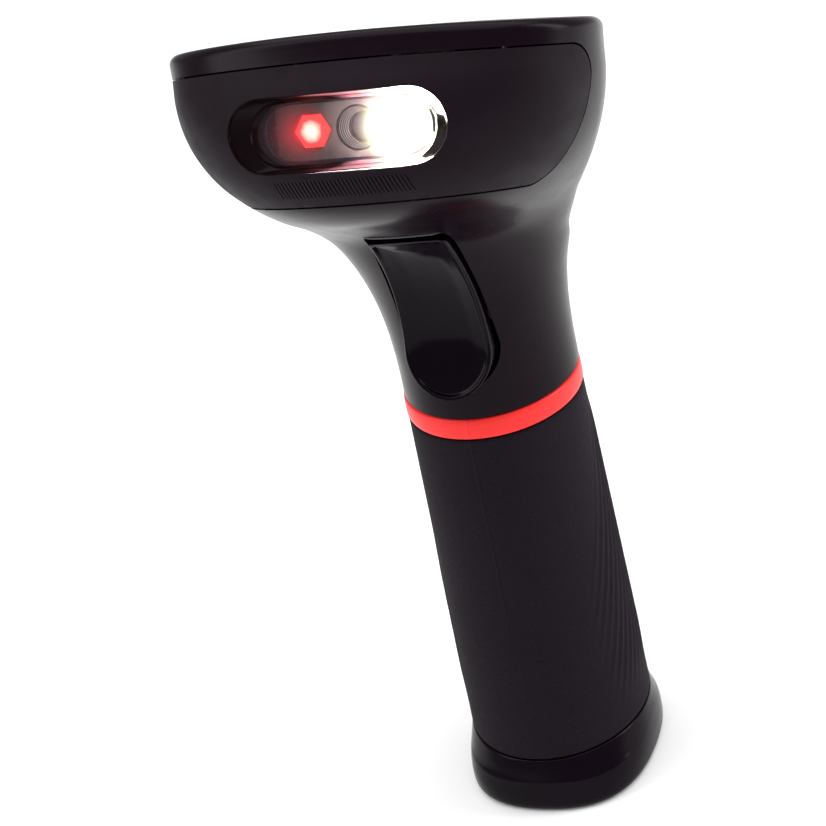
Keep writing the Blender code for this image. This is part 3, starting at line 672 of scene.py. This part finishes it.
HOUSING = plastic("housing_black", (0.0055, 0.0016, 0.0045), 0.25, 2600, 0.0006, 0.08, light=1.06)
BEZEL = plastic("bezel_charcoal", (0.008, 0.0038, 0.0075), 0.52, 1900, 0.012, 0.085, light=1.15)
# The recess round the window gets a darker copy of the bezel plastic: painted shade.
RECESS_SHADE = plastic("recess_painted_shade", (0.0045, 0.0012, 0.0022), 0.3, 1900, 0.002, 0.08, light=1.06)
# The slot's ledge gets a paler, shinier copy of the housing plastic: a painted highlight.
LEDGE_HIGHLIGHT = plastic("ledge_painted_highlight", (0.012, 0.009, 0.011), 0.32, 1900, 0.001, 0.55, light=1.06)
SHOE = plastic("shoe_black", (0.0032, 0.0008, 0.0036), 0.2, depth=0.0006, specular=0.085)
GLOSSY = plastic("gloss_black", (0.0032, 0.0008, 0.0036), 0.13, depth=0.0006, specular=0.09)
CORAL = plastic("coral_red", (0.95, 0.031, 0.028), 0.38, depth=0.002, specular=0.22, light=1.04)
GRIP = rubber("grip_rubber", (0.0062, 0.0032, 0.0068), 0.68)
INNER = plastic("inner_black", (0.02, 0.02, 0.021), 0.5, 1800, 0.015)
ENGINE = plastic("engine_grey", (0.15, 0.135, 0.14), 0.45, 2200, 0.006, light=1.1)
PALE = plastic("pale_grey", (0.62, 0.6, 0.6), 0.4, 2200, 0.008, light=1.06)
CELL = plastic("cell_wrap", (0.045, 0.13, 0.4), 0.28, 900, 0.01, coat=0.3)
STEEL = metal("plated_steel", (0.62, 0.62, 0.63), 0.3)
BRASS = metal("gold_contact", (0.85, 0.6, 0.26), 0.25)
BOARD = board("board_green", (0.012, 0.11, 0.045), (0.09, 0.3, 0.11))
FLEX = board("flex_amber", (0.32, 0.12, 0.02), (0.55, 0.28, 0.06))
LENS = glass("coated_lens", (0.03, 0.035, 0.08), 0.75, 0.02)

AIMER_CENTRE = HEAD_FRAME @ Vector((-LED_PITCH, ENGINE_FRONT_Y + 0.2, WINDOW_LEVEL)) * MM
LAMP_CENTRE = HEAD_FRAME @ Vector((LED_PITCH, ENGINE_FRONT_Y + 0.2, WINDOW_LEVEL)) * MM
FORWARD = HEAD_FRAME.to_3x3() @ Vector((0, -1, 0))
AIMER = glowing("aimer_glow", AIMER_CENTRE, (1, 0.8, 0.62), (1, 0.03, 0.03), 0.002, 4.5)
LAMP = glowing("lamp_glow", LAMP_CENTRE, (1, 1, 0.93), (1, 0.95, 0.62), 0.0042, 60.0)
# From the imager's front face to the point of the glass straight in front of it
ON_GLASS = Matrix.Translation(HEAD_FRAME.to_3x3() @ Vector((0, THROAT_Y - ENGINE_FRONT_Y, 0)) * MM)
# The window carries painted glare: emission on the glass in front of the aimer, deep red, and in
# front of the lamp, hot yellow-white.
SMOKE = glass(
    "smoked_window",
    (0.05, 0.036, 0.045),
    0.3,
    painted_glare_spots=(
        (ON_GLASS @ AIMER_CENTRE, 0.007, 2.6, (1.5, 0.055, 0.065)),
        (ON_GLASS @ LAMP_CENTRE, 0.008, 4.0, (60.0, 60.0, 36.0)),
    ),
)

LOOK_OF_SLOT = {
    "housing_plastic": HOUSING,
    "gloss_plastic": GLOSSY,
    "bezel_plastic": BEZEL,
    "accent_plastic": CORAL,
    "grip_rubber": GRIP,
    "smoked_window": SMOKE,
    "lens_glass": LENS,
    "aimer_red": AIMER,
    "lamp_white": LAMP,
    "pale_plastic": PALE,
    "circuit_board": BOARD,
    "inner_plastic": INNER,
    "contact_brass": BRASS,
    "cell_sleeve": CELL,
    "steel": STEEL,
}
OWN_LOOKS = {"flex_cable": FLEX, "engine_chassis": ENGINE}
for subpart in frame["record"]["subparts"]:
    node = frame["nodes"][subpart["node"]]
    look = OWN_LOOKS.get(subpart["node"], LOOK_OF_SLOT[subpart["material_slot"]])
    if not node.material_slots:
        node.data.materials.append(look)
    for place in node.material_slots:
        place.material = look


def finish_piece(obj, look, replaced, body="scanner"):
    """Give a piece its material and its body, and hide the CAD node that it stands for."""
    obj.data.materials.clear()
    obj.data.materials.append(look)
    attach(obj, body)
    if replaced:
        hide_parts(replaced)
    return obj


# ---------------------------------------------------------------- housing


def trigger_outline(grow, top_grow, corner):
    """Front outline of the trigger: straight top, slightly flared sides, round bottom."""
    top, bottom = TRIGGER_HALF[0] + grow, TRIGGER_HALF[1] + grow
    low_z = TRIGGER_BOTTOM_Z - grow + bottom
    high_z = TRIGGER_TOP_Z + top_grow
    upper = [((top - corner) * i / 8, high_z) for i in range(8)]
    right = arc(top - corner, high_z - corner, corner, 90, 0, 6)
    for i in range(1, 32):
        t = i / 32
        right.append((top + (bottom - top) * t, high_z - corner + (low_z - high_z + corner) * t))
    base = arc(0, low_z, bottom, 0, -180, 48)
    left = [(-x, z) for x, z in reversed(upper[1:] + right)]
    return upper + right + base + left


def mid_wall():
    """The body out to the middle of its wall, which trims what is added inside it."""
    return to_metres("inside", loft(body_rings(inset=MID_WALL, lower=MID_WALL, steps=2)))


def front_housing():
    """The shell forward of the split, with the bezel's pocket and a walled trigger slot."""
    obj = body_shell("shell_front")
    front_side = to_metres("front_side", box((-80, -90, 60), (80, SPLIT_Y, 220)))
    boolean(obj, "INTERSECT", front_side)
    boolean(obj, "DIFFERENCE", bezel_region("pocket", GAP))
    sides, top = TRIGGER_SLOT_GAP + CHIMNEY_WALL, TRIGGER_TOP_GAP + CHIMNEY_WALL
    chimney = prism(trigger_outline(sides, top, 2.4), "Y", -60, CHIMNEY_BACK_Y)
    chimney = to_metres("chimney", chimney)
    boolean(chimney, "INTERSECT", mid_wall())
    applied(chimney)
    boolean(obj, "UNION", chimney)
    opening = trigger_outline(TRIGGER_SLOT_GAP, TRIGGER_TOP_GAP, 1.8)
    boolean(obj, "DIFFERENCE", to_metres("slot", prism(opening, "Y", -60, SLOT_BACK_Y)))
    light = prism(stadium(7.6, 3.2, -5), "Z", -2, 9.3)
    boolean(obj, "DIFFERENCE", to_metres("light_slot", tilted(light)))
    shade(applied(obj))
    finish_piece(obj, HOUSING, "front_housing")


def rear_cover():
    """The shell behind the split, with a well and a bore for each of its four screws."""
    obj = body_shell("shell_rear")
    rear_side = to_metres("rear_side", box((-80, SPLIT_Y + GAP, 60), (80, 90, 220)))
    boolean(obj, "INTERSECT", rear_side)
    wells, bores = [], []
    for x, z in [(side * x, z) for x, z in SIDE_BOLTS for side in (-1, 1)]:
        wells.append(rod(3.4, (x, SPLIT_Y + GAP, z), (x, 45, z)))
        bores.append(rod(SCREW_HEAD_RADIUS + 0.4, (x, SPLIT_Y + 2.3, z), (x, 60, z)))
        bores.append(rod(SCREW_RADIUS + GAP, (x, 0, z), (x, SPLIT_Y + 2.31, z), sides=24))
    wells = to_metres("wells", gather(wells))
    boolean(wells, "INTERSECT", mid_wall())
    applied(wells)
    boolean(obj, "UNION", wells)
    for number, bore in enumerate(bores):
        boolean(obj, "DIFFERENCE", to_metres(f"bore_{number}", bore))
    shade(applied(obj, weld=0.03, bevel=0.28))
    finish_piece(obj, HOUSING, "rear_cover")


# ---------------------------------------------------------------- nose


def groove_cutters():
    """Slanted grooves in a strip under the window, cut a little way into the curved face."""
    pieces = []
    for i in range(GROOVES):
        middle = GROOVE_FIRST_X + GROOVE_PITCH * i
        rings = []
        for level, shift in zip(GROOVE_LEVELS, (GROOVE_SLANT / 2, -GROOVE_SLANT / 2)):
            x = middle + shift
            back = bezel_front(x, level) + GROOVE_DEPTH
            ring = [(x - GROOVE_WIDTH / 2, -60), (x + GROOVE_WIDTH / 2, -60)]
            ring += [(x + GROOVE_WIDTH / 4, back), (x - GROOVE_WIDTH / 4, back)]
            rings.append([(px, py, level) for px, py in ring])
        pieces.append(loft(rings))
    return tilted(gather(pieces))


def funnel():
    """The recess round the window: a rounded lip flush with the face, then tapered walls."""
    width, height = RIM_SIZE
    wide, high = THROAT_SIZE

    def on_face(wider, depth):
        ring = stadium(width + wider, height + wider, WINDOW_LEVEL)
        ring = [(x + RIM_SHIFT, z) for x, z in ring]
        return [(x, bezel_front(x, z) + depth, z) for x, z in ring]

    def flat(wider, y):
        ring = stadium(wide + wider, high + 0.5 * wider, WINDOW_LEVEL)
        return [(x, y, z) for x, z in ring]

    lip = ((0.62, 0.03), (0.36, 0.1), (0.14, 0.28), (0.0, 0.56))
    rings = [on_face(wider, depth) for wider, depth in lip]
    rings += [flat(2.3, -41.95), flat(1.8, -41.85), flat(1.6, -41.6), flat(0.1, THROAT_Y)]
    rings += [flat(0.0, THROAT_Y + 0.25), flat(2.6, THROAT_Y + 0.25), flat(8.0, THROAT_Y + 0.2)]
    rings += [on_face(2.2, 1.8), on_face(2.0, 0.9), on_face(0.62, 0.03)]
    return tilted(loft(rings, False, False))


def nose_bezel():
    """The plate with its mouth and grooves, and the recess and the marks as their own pieces."""
    obj = body_shell("nose_plate")
    boolean(obj, "INTERSECT", bezel_region("region", 0.0))
    applied(obj)
    width, height = RIM_SIZE
    ring = stadium(width + 0.62, height + 0.62, WINDOW_LEVEL)
    mouth = prism([(x + RIM_SHIFT, z) for x, z in ring], "Y", -60, -30)
    boolean(obj, "DIFFERENCE", to_metres("mouth", tilted(mouth)))
    boolean(obj, "DIFFERENCE", to_metres("grooves", groove_cutters()))
    shade(applied(obj), 28)
    finish_piece(obj, BEZEL, "nose_bezel")
    recess = shade(to_metres("nose_recess", funnel()), 40)
    # Darker copy of the bezel plastic on the recess: painted shade in the hollow.
    finish_piece(recess, RECESS_SHADE, None)
    marks = []
    for x, level, radius in PIPS:
        side = [(radius, -0.3), (radius, 0.08), (radius * 0.6, 0.14)]
        mark = turned([(0, -0.3), *side, (0, 0.15)], 24)
        place = (x, bezel_front(x, level), level)
        turn = Matrix.Translation(place) @ Matrix.Rotation(radians(90), 4, "X")
        bmesh.ops.transform(mark, verts=mark.verts, matrix=turn)
        marks.append(tilted(mark))
    pips = shade(to_metres("nose_pips", gather(marks)), 30)
    finish_piece(pips, BEZEL, None)


def window():
    """The glass, with a small chamfer all round."""
    front, back = THROAT_Y + GAP, THROAT_Y + 1.5
    stages = ((31.9, 11.3, front), (32.4, 11.8, front + 0.25), (32.4, 11.8, back))
    rings = [[(x, y, z) for x, z in stadium(w, h, WINDOW_LEVEL)] for w, h, y in stages]
    obj = shade(to_metres("scan_glass", tilted(loft(rings))))
    finish_piece(obj, SMOKE, "window_glass")


def along_scan_axis(bm, x, y):
    """Turn a piece made about Z so that its Z points forward out of the window."""
    turn = Matrix.Translation((x, y, WINDOW_LEVEL)) @ Matrix.Rotation(radians(90), 4, "X")
    bmesh.ops.transform(bm, verts=bm.verts, matrix=turn)
    return tilted(bm)


def lens_parts():
    """The stepped lens barrel and the domed lens in it."""
    steps = [(2.5, 0.0), (2.5, 4.6)]
    for i in range(5):
        radius = 2.55 + 0.17 * i
        steps += [(radius, 4.7 + 0.5 * i), (radius + 0.16, 4.75 + 0.5 * i)]
    steps += [(3.42, 7.3), (3.5, 7.2), (3.5, 0.0)]
    profile = steps + [steps[0]]
    angles = [tau * i / 72 for i in range(72)]
    rings = [[(r * cos(a), r * sin(a), z) for a in angles] for r, z in profile]
    bm = loft(rings, False, False)
    bmesh.ops.remove_doubles(bm, verts=bm.verts, dist=1e-4)
    bm = along_scan_axis(bm, 0, ENGINE_FRONT_Y + 7)
    barrel = shade(to_metres("barrel_steps", bm), 25)
    finish_piece(barrel, INNER, "lens_barrel")
    dome = [(0, 0)] + [(2.3 * sin(a), 0.3 + 0.5 * (1 - cos(a))) for a in (0.5, 1.0, 1.5)]
    dome += [(2.35, 0.9), (2.35, 1.4)]
    dome += [(2.35 * cos(a), 1.4 + 1.0 * sin(a)) for a in (0.2, 0.5, 0.8, 1.1, 1.35)] + [(0, 2.4)]
    bm = along_scan_axis(turned(dome), 0, ENGINE_FRONT_Y + 4.8)
    lens = shade(to_metres("lens_dome", bm), 40)
    finish_piece(lens, LENS, "camera_lens")


def aimer_hexagon():
    """The aiming light's lens: a low six-sided dome."""
    rings = []
    base = ((2.9, 0.6), (3.05, 0.5), (3.05, -0.15))
    crown = ((2.75, -0.5), (1.9, -0.75), (1.0, -0.85))
    for radius, y in base + crown:
        ring = [(radius * cos(tau * i / 6), radius * sin(tau * i / 6)) for i in range(6)]
        rings.append([(x - LED_PITCH, ENGINE_FRONT_Y + y, WINDOW_LEVEL + z) for x, z in ring])
    dome = shade(to_metres("aimer_hexagon", tilted(loft(rings))), 20)
    finish_piece(dome, AIMER, "aimer_lens")


# ---------------------------------------------------------------- trigger


def trigger_front(z):
    """How far forward the rim of the trigger stands at height z: a finger-shaped hollow."""
    t = (z - TRIGGER_BOTTOM_Z) / (TRIGGER_TOP_Z - TRIGGER_BOTTOM_Z)
    t = min(1.0, max(0.0, t))
    if t < 0.38:
        return bezier(-23.0, -20.6, -19.0, -19.0, t / 0.38)
    return bezier(-19.0, -19.0, -21.9, TRIGGER_TOP_Y, (t - 0.38) / 0.62)


def trigger_bowl(x, z):
    """How much deeper the dish is at a point, smooth all over and nothing at the rim."""
    side = max(0.0, 1 - (x / TRIGGER_HALF[1]) ** 2)
    low = smooth(TRIGGER_BOTTOM_Z + 0.6, TRIGGER_BOTTOM_Z + 12, z)
    return 0.75 * side * low * (1 - 0.7 * smooth(TRIGGER_TOP_Z - 7, TRIGGER_TOP_Z, z))


def trigger():
    """A dished tongue with a thin raised bead round its edge, and its lug and nub."""
    rings = []

    def ring_at(inward, depth, bowl=0.0, wide=1.0):
        ring = trigger_outline(-inward, -inward, max(0.1, 1.4 - inward))
        ring = [(x, trigger_front(z) + depth + bowl * trigger_bowl(x, z), z) for x, z in ring]
        rings.append([(x * wide, y, z) for x, y, z in ring])

    ring_at(6.9, TRIGGER_THICKNESS, wide=0.0)
    for inward in (6.9, 5.0, 3.0, 1.0, 0.0):
        ring_at(inward, TRIGGER_THICKNESS)
    bead_outer = ((0.0, 0.7), (0.06, 0.34), (0.2, 0.1), (0.42, 0.0))
    bead_inner = ((0.62, 0.03), (0.8, 0.14), (0.96, 0.32))
    for inward, depth in bead_outer + bead_inner:
        ring_at(inward, depth)
    dish = ((1.15, 0.42, 0.0), (1.5, 0.5, 0.1), (2.1, 0.56, 0.35), (2.8, 0.6, 0.7))
    for inward, depth, bowl in dish:
        ring_at(inward, depth, bowl)
    for inward in (3.5, 4.2, 4.9, 5.6, 6.3, 6.9):
        ring_at(inward, 0.62, 1.0)
    ring_at(6.9, 0.62, 1.0, wide=0.0)
    bm = loft(rings, False, False)
    bmesh.ops.remove_doubles(bm, verts=bm.verts, dist=1e-3)
    obj = to_metres("trigger_blade", bm)
    parts = (
        rod(2.2, (-3, PIVOT_Y, PIVOT_Z), (3, PIVOT_Y, PIVOT_Z)),
        box((-2.9, PIVOT_Y - 2.3, PIVOT_Z - 2.0), (2.9, PIVOT_Y - 0.4, PIVOT_Z + 1.6)),
        rod(2.0, (0, trigger_front(PLUNGER_Z) + 1.9, PLUNGER_Z), (0, PLUNGER_Y - GAP, PLUNGER_Z)),
    )
    for number, part in enumerate(parts):
        boolean(obj, "UNION", to_metres(f"trigger_part_{number}", part))
    bore = rod(1.3, (-9, PIVOT_Y, PIVOT_Z), (9, PIVOT_Y, PIVOT_Z))
    boolean(obj, "DIFFERENCE", to_metres("trigger_bore", bore))
    shade(applied(obj), 50)
    finish_piece(obj, GLOSSY, "trigger", "trigger")


def slot_lip():
    """The rounded ledge along the top of the trigger's slot."""
    z = TRIGGER_TOP_Z + TRIGGER_TOP_GAP + 0.12
    rows = body_rings()
    rings = []
    for i in range(29):
        x = -LEDGE_HALF + 0.5 * i
        y = skin_front(rows, x, z)
        radius = LEDGE_RADIUS * min(1.0, 0.35 + 0.25 * min(i, 28 - i))
        ring = arc(y + 0.02, z, radius, 0, 330, 11)
        rings.append([(x, py, pz) for py, pz in ring])
    lip = shade(to_metres("slot_lip", loft(rings)), 60)
    # Paler copy of the housing plastic here: painted highlight along the slot's top.
    finish_piece(lip, LEDGE_HIGHLIGHT, None)


def skin_front(rows, x, z):
    """How far forward the housing's skin stands at x and height z, in world millimetres."""
    half = AROUND[0] + 1
    profile = []
    for row in rows[: BODY_STEPS * (len(NECK) + len(HEAD) - 1)]:
        for near, far in zip(row[:half], row[1:half]):
            if near[0] <= abs(x) <= far[0]:
                share = (abs(x) - near[0]) / (far[0] - near[0])
                profile.append([near[k] + (far[k] - near[k]) * share for k in (1, 2)])
                break
    for low, high in zip(profile, profile[1:]):
        if low[1] <= z <= high[1]:
            return low[0] + (high[0] - low[0]) * (z - low[1]) / (high[1] - low[1])
    return profile[0][0]


# ---------------------------------------------------------------- handle


def handle_size(z):
    """Half the grip's width and depth at height z."""
    t = (z - FOOT_SEAM_Z) / (RING_BOTTOM_Z - FOOT_SEAM_Z)
    half_x = HANDLE_BOTTOM[0] + (HANDLE_TOP[0] - HANDLE_BOTTOM[0]) * t
    half_y = HANDLE_BOTTOM[1] + (HANDLE_TOP[1] - HANDLE_BOTTOM[1]) * t
    return half_x, half_y


def handle_point(z, angle, out=0.0):
    """A point of the grip: angle 0 is the front and grows towards +X."""
    half_x, half_y = handle_size(z)
    normal = Vector((sin(angle) / half_x, -cos(angle) / half_y)).normalized()
    return (
        half_x * sin(angle) + normal.x * out,
        -half_y * cos(angle) + normal.y * out,
        z,
    )


def rib_height(angle, z):
    """Slanting grip ribs on the sides and the rear, fading out towards the front."""
    side = abs(angle if angle <= pi else angle - tau)
    along = side * RIB_RADIUS - (z - RIB_MIDDLE_Z) * RIB_SLANT
    wave = 0.5 + 0.5 * cos(tau * along / RIB_PITCH)
    front_limit = radians(48) + radians(36) * smooth(40, 76, z)
    mask = smooth(front_limit, front_limit + 0.42, side)
    mask *= smooth(15, 26, z) * (1 - smooth(71, 79, z)) * (1 - smooth(pi - 0.16, pi - 0.08, side))
    return RIB_HEIGHT * mask * wave**1.4


def grip_sleeve():
    """The rubber sleeve, with its ribs and, on the front's upper part, a parting line."""
    low, high = FOOT_SEAM_Z + GAP, RING_BOTTOM_Z - GAP
    angles = [0.0, 0.004, 0.009, 0.014, 0.03]
    angles += [0.03 + (radians(45) - 0.03) * i / 20 for i in range(1, 21)]
    angles += [radians(45) + (pi - radians(45)) * i / 220 for i in range(1, 221)]
    angles += [tau - a for a in reversed(angles[1:-1])]
    rings = []
    for z, out in ((low, -0.35), (low + 0.12, -0.1)):
        rings.append([handle_point(z, a, out) for a in angles])
    for i in range(SLEEVE_ROWS + 1):
        z = low + 0.4 + (high - low - 0.8) * i / SLEEVE_ROWS
        ring = []
        for a in angles:
            side = min(a, tau - a)
            seam = SLEEVE_SEAM * (1 - smooth(0.004, 0.014, side)) * smooth(34, 50, z)
            ring.append(handle_point(z, a, rib_height(a, z) + seam))
        rings.append(ring)
    for z, out in ((high - 0.12, -0.1), (high, -0.35)):
        rings.append([handle_point(z, a, out) for a in angles])
    inner = [[handle_point(z, a, -SLEEVE_WALL) for a in angles] for z in (high, low)]
    obj = shade(to_metres("grip_skin", loft(rings + inner + rings[:1], False, False)), 60)
    merge_ends(obj)
    finish_piece(obj, GRIP, "grip_sleeve")


def accent_ring():
    """The red band, slightly crowned, with a parting line at the front."""
    low, high = RING_BOTTOM_Z, RING_TOP_Z
    angles = [0.0, 0.005, 0.012, 0.03] + [0.03 + (pi - 0.03) * i / 90 for i in range(1, 91)]
    angles += [tau - a for a in reversed(angles[1:-1])]
    profile = [(low, -0.25), (low + 0.12, 0.02), (low + 0.35, 0.14)]
    profile += [(low + 1.2, 0.2), ((low + high) / 2, 0.22), (high - 1.2, 0.2)]
    profile += [(high - 0.35, 0.14), (high - 0.12, 0.02), (high, -0.25)]
    profile += [(high, -SLEEVE_WALL), (low, -SLEEVE_WALL)]
    rings = []
    for z, out in profile + profile[:1]:
        ring = []
        for a in angles:
            side = min(a, tau - a)
            seam = RING_SEAM * (1 - smooth(0.004, 0.012, side)) if out > 0 else 0.0
            ring.append(handle_point(z, a, out + seam))
        rings.append(ring)
    obj = shade(to_metres("ring_band", loft(rings, False, False)), 60)
    merge_ends(obj)
    finish_piece(obj, CORAL, "accent_ring")


# ---------------------------------------------------------------- foot


def foot_cap():
    """The hollow shoe, with two screw posts, holes for two charging contacts and a socket's
    opening.
    """

    def rings_of(inset, lift):
        rings = []
        for z, half_x, front, rear, share in FOOT:
            fullness = blended(share, SQUARE)
            points = outline(front + inset, 0, rear - inset, half_x - inset, fullness)
            rings.append([(x, y, max(z, lift)) for x, y in points])
        return rings

    outer = refined(rings_of(0.0, 0.0), 4)
    outer.append([(x * 0.5, y * 0.5, 0.0) for x, y, z in outer[-1]])
    inner = rings_of(WALL, WALL)[:6]
    inner.append([(x * 0.5, y * 0.5, z) for x, y, z in inner[-1]])
    obj = to_metres("foot_shoe", loft(inner[::-1] + outer))
    pieces = []
    for side in (-1, 1):
        spot = side * FOOT_SCREW_X
        post = to_metres(f"post_{side}", rod(3.6, (spot, 0, 1.2), (spot, 0, 10.5)))
        boolean(obj, "UNION", post)
        pieces.append(rod(SCREW_HEAD_RADIUS + 0.4, (spot, 0, -3), (spot, 0, 2.0)))
        pieces.append(rod(SCREW_RADIUS + GAP, (spot, 0, 1.9), (spot, 0, 20), sides=24))
        pieces.append(rod(1.85, (side * 4, -10, -3), (side * 4, -10, 4)))
    pieces.append(box((-4.9, 8.1, -2), (4.9, 11.9, 4)))
    for number, piece in enumerate(pieces):
        boolean(obj, "DIFFERENCE", to_metres(f"foot_hole_{number}", piece))
    shade(applied(obj, weld=0.02, bevel=0.18))
    finish_piece(obj, SHOE, "foot_cap")


# ---------------------------------------------------------------- stage


def stage():
    """A pale floor, which isn't part of the object."""
    material, tree, bsdf = shader("pale_floor")
    cloud = noise(tree, 3, 3)
    tree.links.new(
        mixed(tree, spread(tree, cloud, 0, 1), (0.86, 0.86, 0.86), (0.89, 0.89, 0.89)),
        bsdf.inputs["Base Color"],
    )
    bsdf.inputs["Roughness"].default_value = 0.9
    bsdf.inputs["Specular IOR Level"].default_value = 0.1
    bsdf.inputs["Emission Color"].default_value = (1, 1, 1, 1)
    bsdf.inputs["Emission Strength"].default_value = 0.08
    bm = bmesh.new()
    bmesh.ops.create_grid(bm, x_segments=1, y_segments=1, size=6.0)
    mesh = bpy.data.meshes.new("floor")
    bm.to_mesh(mesh)
    bm.free()
    floor = bpy.data.objects.new("floor", mesh)
    bpy.context.scene.collection.objects.link(floor)
    mesh.materials.append(material)


def area_light(name, place, aim, size, power, colour=(1, 1, 1)):
    lamp = bpy.data.lights.new(name, "AREA")
    lamp.shape = "RECTANGLE"
    lamp.size, lamp.size_y = size
    lamp.energy = power
    lamp.color = colour
    obj = bpy.data.objects.new(name, lamp)
    obj.location = place
    obj.rotation_euler = (Vector(aim) - Vector(place)).to_track_quat("-Z", "Y").to_euler()
    bpy.context.scene.collection.objects.link(obj)


def lights():
    """A white studio: a large soft light overhead and a box at each side."""
    world = bpy.data.worlds.new("studio")
    bpy.context.scene.world = world
    world.use_nodes = True
    sky = world.node_tree.nodes["Background"]
    sky.inputs["Color"].default_value = (1, 1, 1, 1)
    sky.inputs["Strength"].default_value = 0.4
    middle = (0, 0, 0.1)
    area_light("overhead", (0.0, 0.1, 1.6), middle, (2.2, 2.2), 34)
    area_light("left_box", (-0.9, -0.5, 0.75), middle, (0.5, 0.9), 5)
    area_light("right_box", (0.95, 0.25, 0.5), middle, (0.35, 0.9), 6)


def lamp_beam():
    """The lit lamp's wide beam, which falls on the funnel's walls."""
    beam = bpy.data.lights.new("lamp_beam", "SPOT")
    beam.energy = 6.0
    beam.color = (1, 1, 0.78)
    beam.spot_size = radians(126)
    beam.spot_blend = 0.06
    beam.shadow_soft_size = 0.0006
    obj = bpy.data.objects.new("lamp_beam", beam)
    obj.location = LAMP_CENTRE + FORWARD * 2.0 * MM
    obj.rotation_euler = FORWARD.to_track_quat("-Z", "Y").to_euler()
    bpy.context.scene.collection.objects.link(obj)


def camera():
    """The viewpoint: from the front right and above, with a little roll."""
    azimuth, elevation, roll = (radians(angle) for angle in CAMERA_ANGLES)
    back = Vector((sin(azimuth) * cos(elevation), -cos(azimuth) * cos(elevation), sin(elevation)))
    right = Vector((cos(azimuth), sin(azimuth), 0))
    up = back.cross(right)
    rolled_right = right * cos(roll) - up * sin(roll)
    rolled_up = right * sin(roll) + up * cos(roll)
    turn = Matrix((rolled_right, rolled_up, back)).transposed().to_4x4()
    lens = bpy.data.cameras.new("camera")
    lens.lens = CAMERA_LENS
    lens.sensor_width = 36.0
    lens.clip_start = 0.01
    obj = bpy.data.objects.new("camera", lens)
    obj.matrix_world = Matrix.Translation(CAMERA_PLACE) @ turn
    bpy.context.scene.collection.objects.link(obj)
    bpy.context.scene.camera = obj


front_housing()
rear_cover()
nose_bezel()
window()
lens_parts()
aimer_hexagon()
trigger()
slot_lip()
grip_sleeve()
accent_ring()
foot_cap()
stage()
lights()
lamp_beam()
camera()
bpy.context.scene.view_settings.view_transform = "Standard"
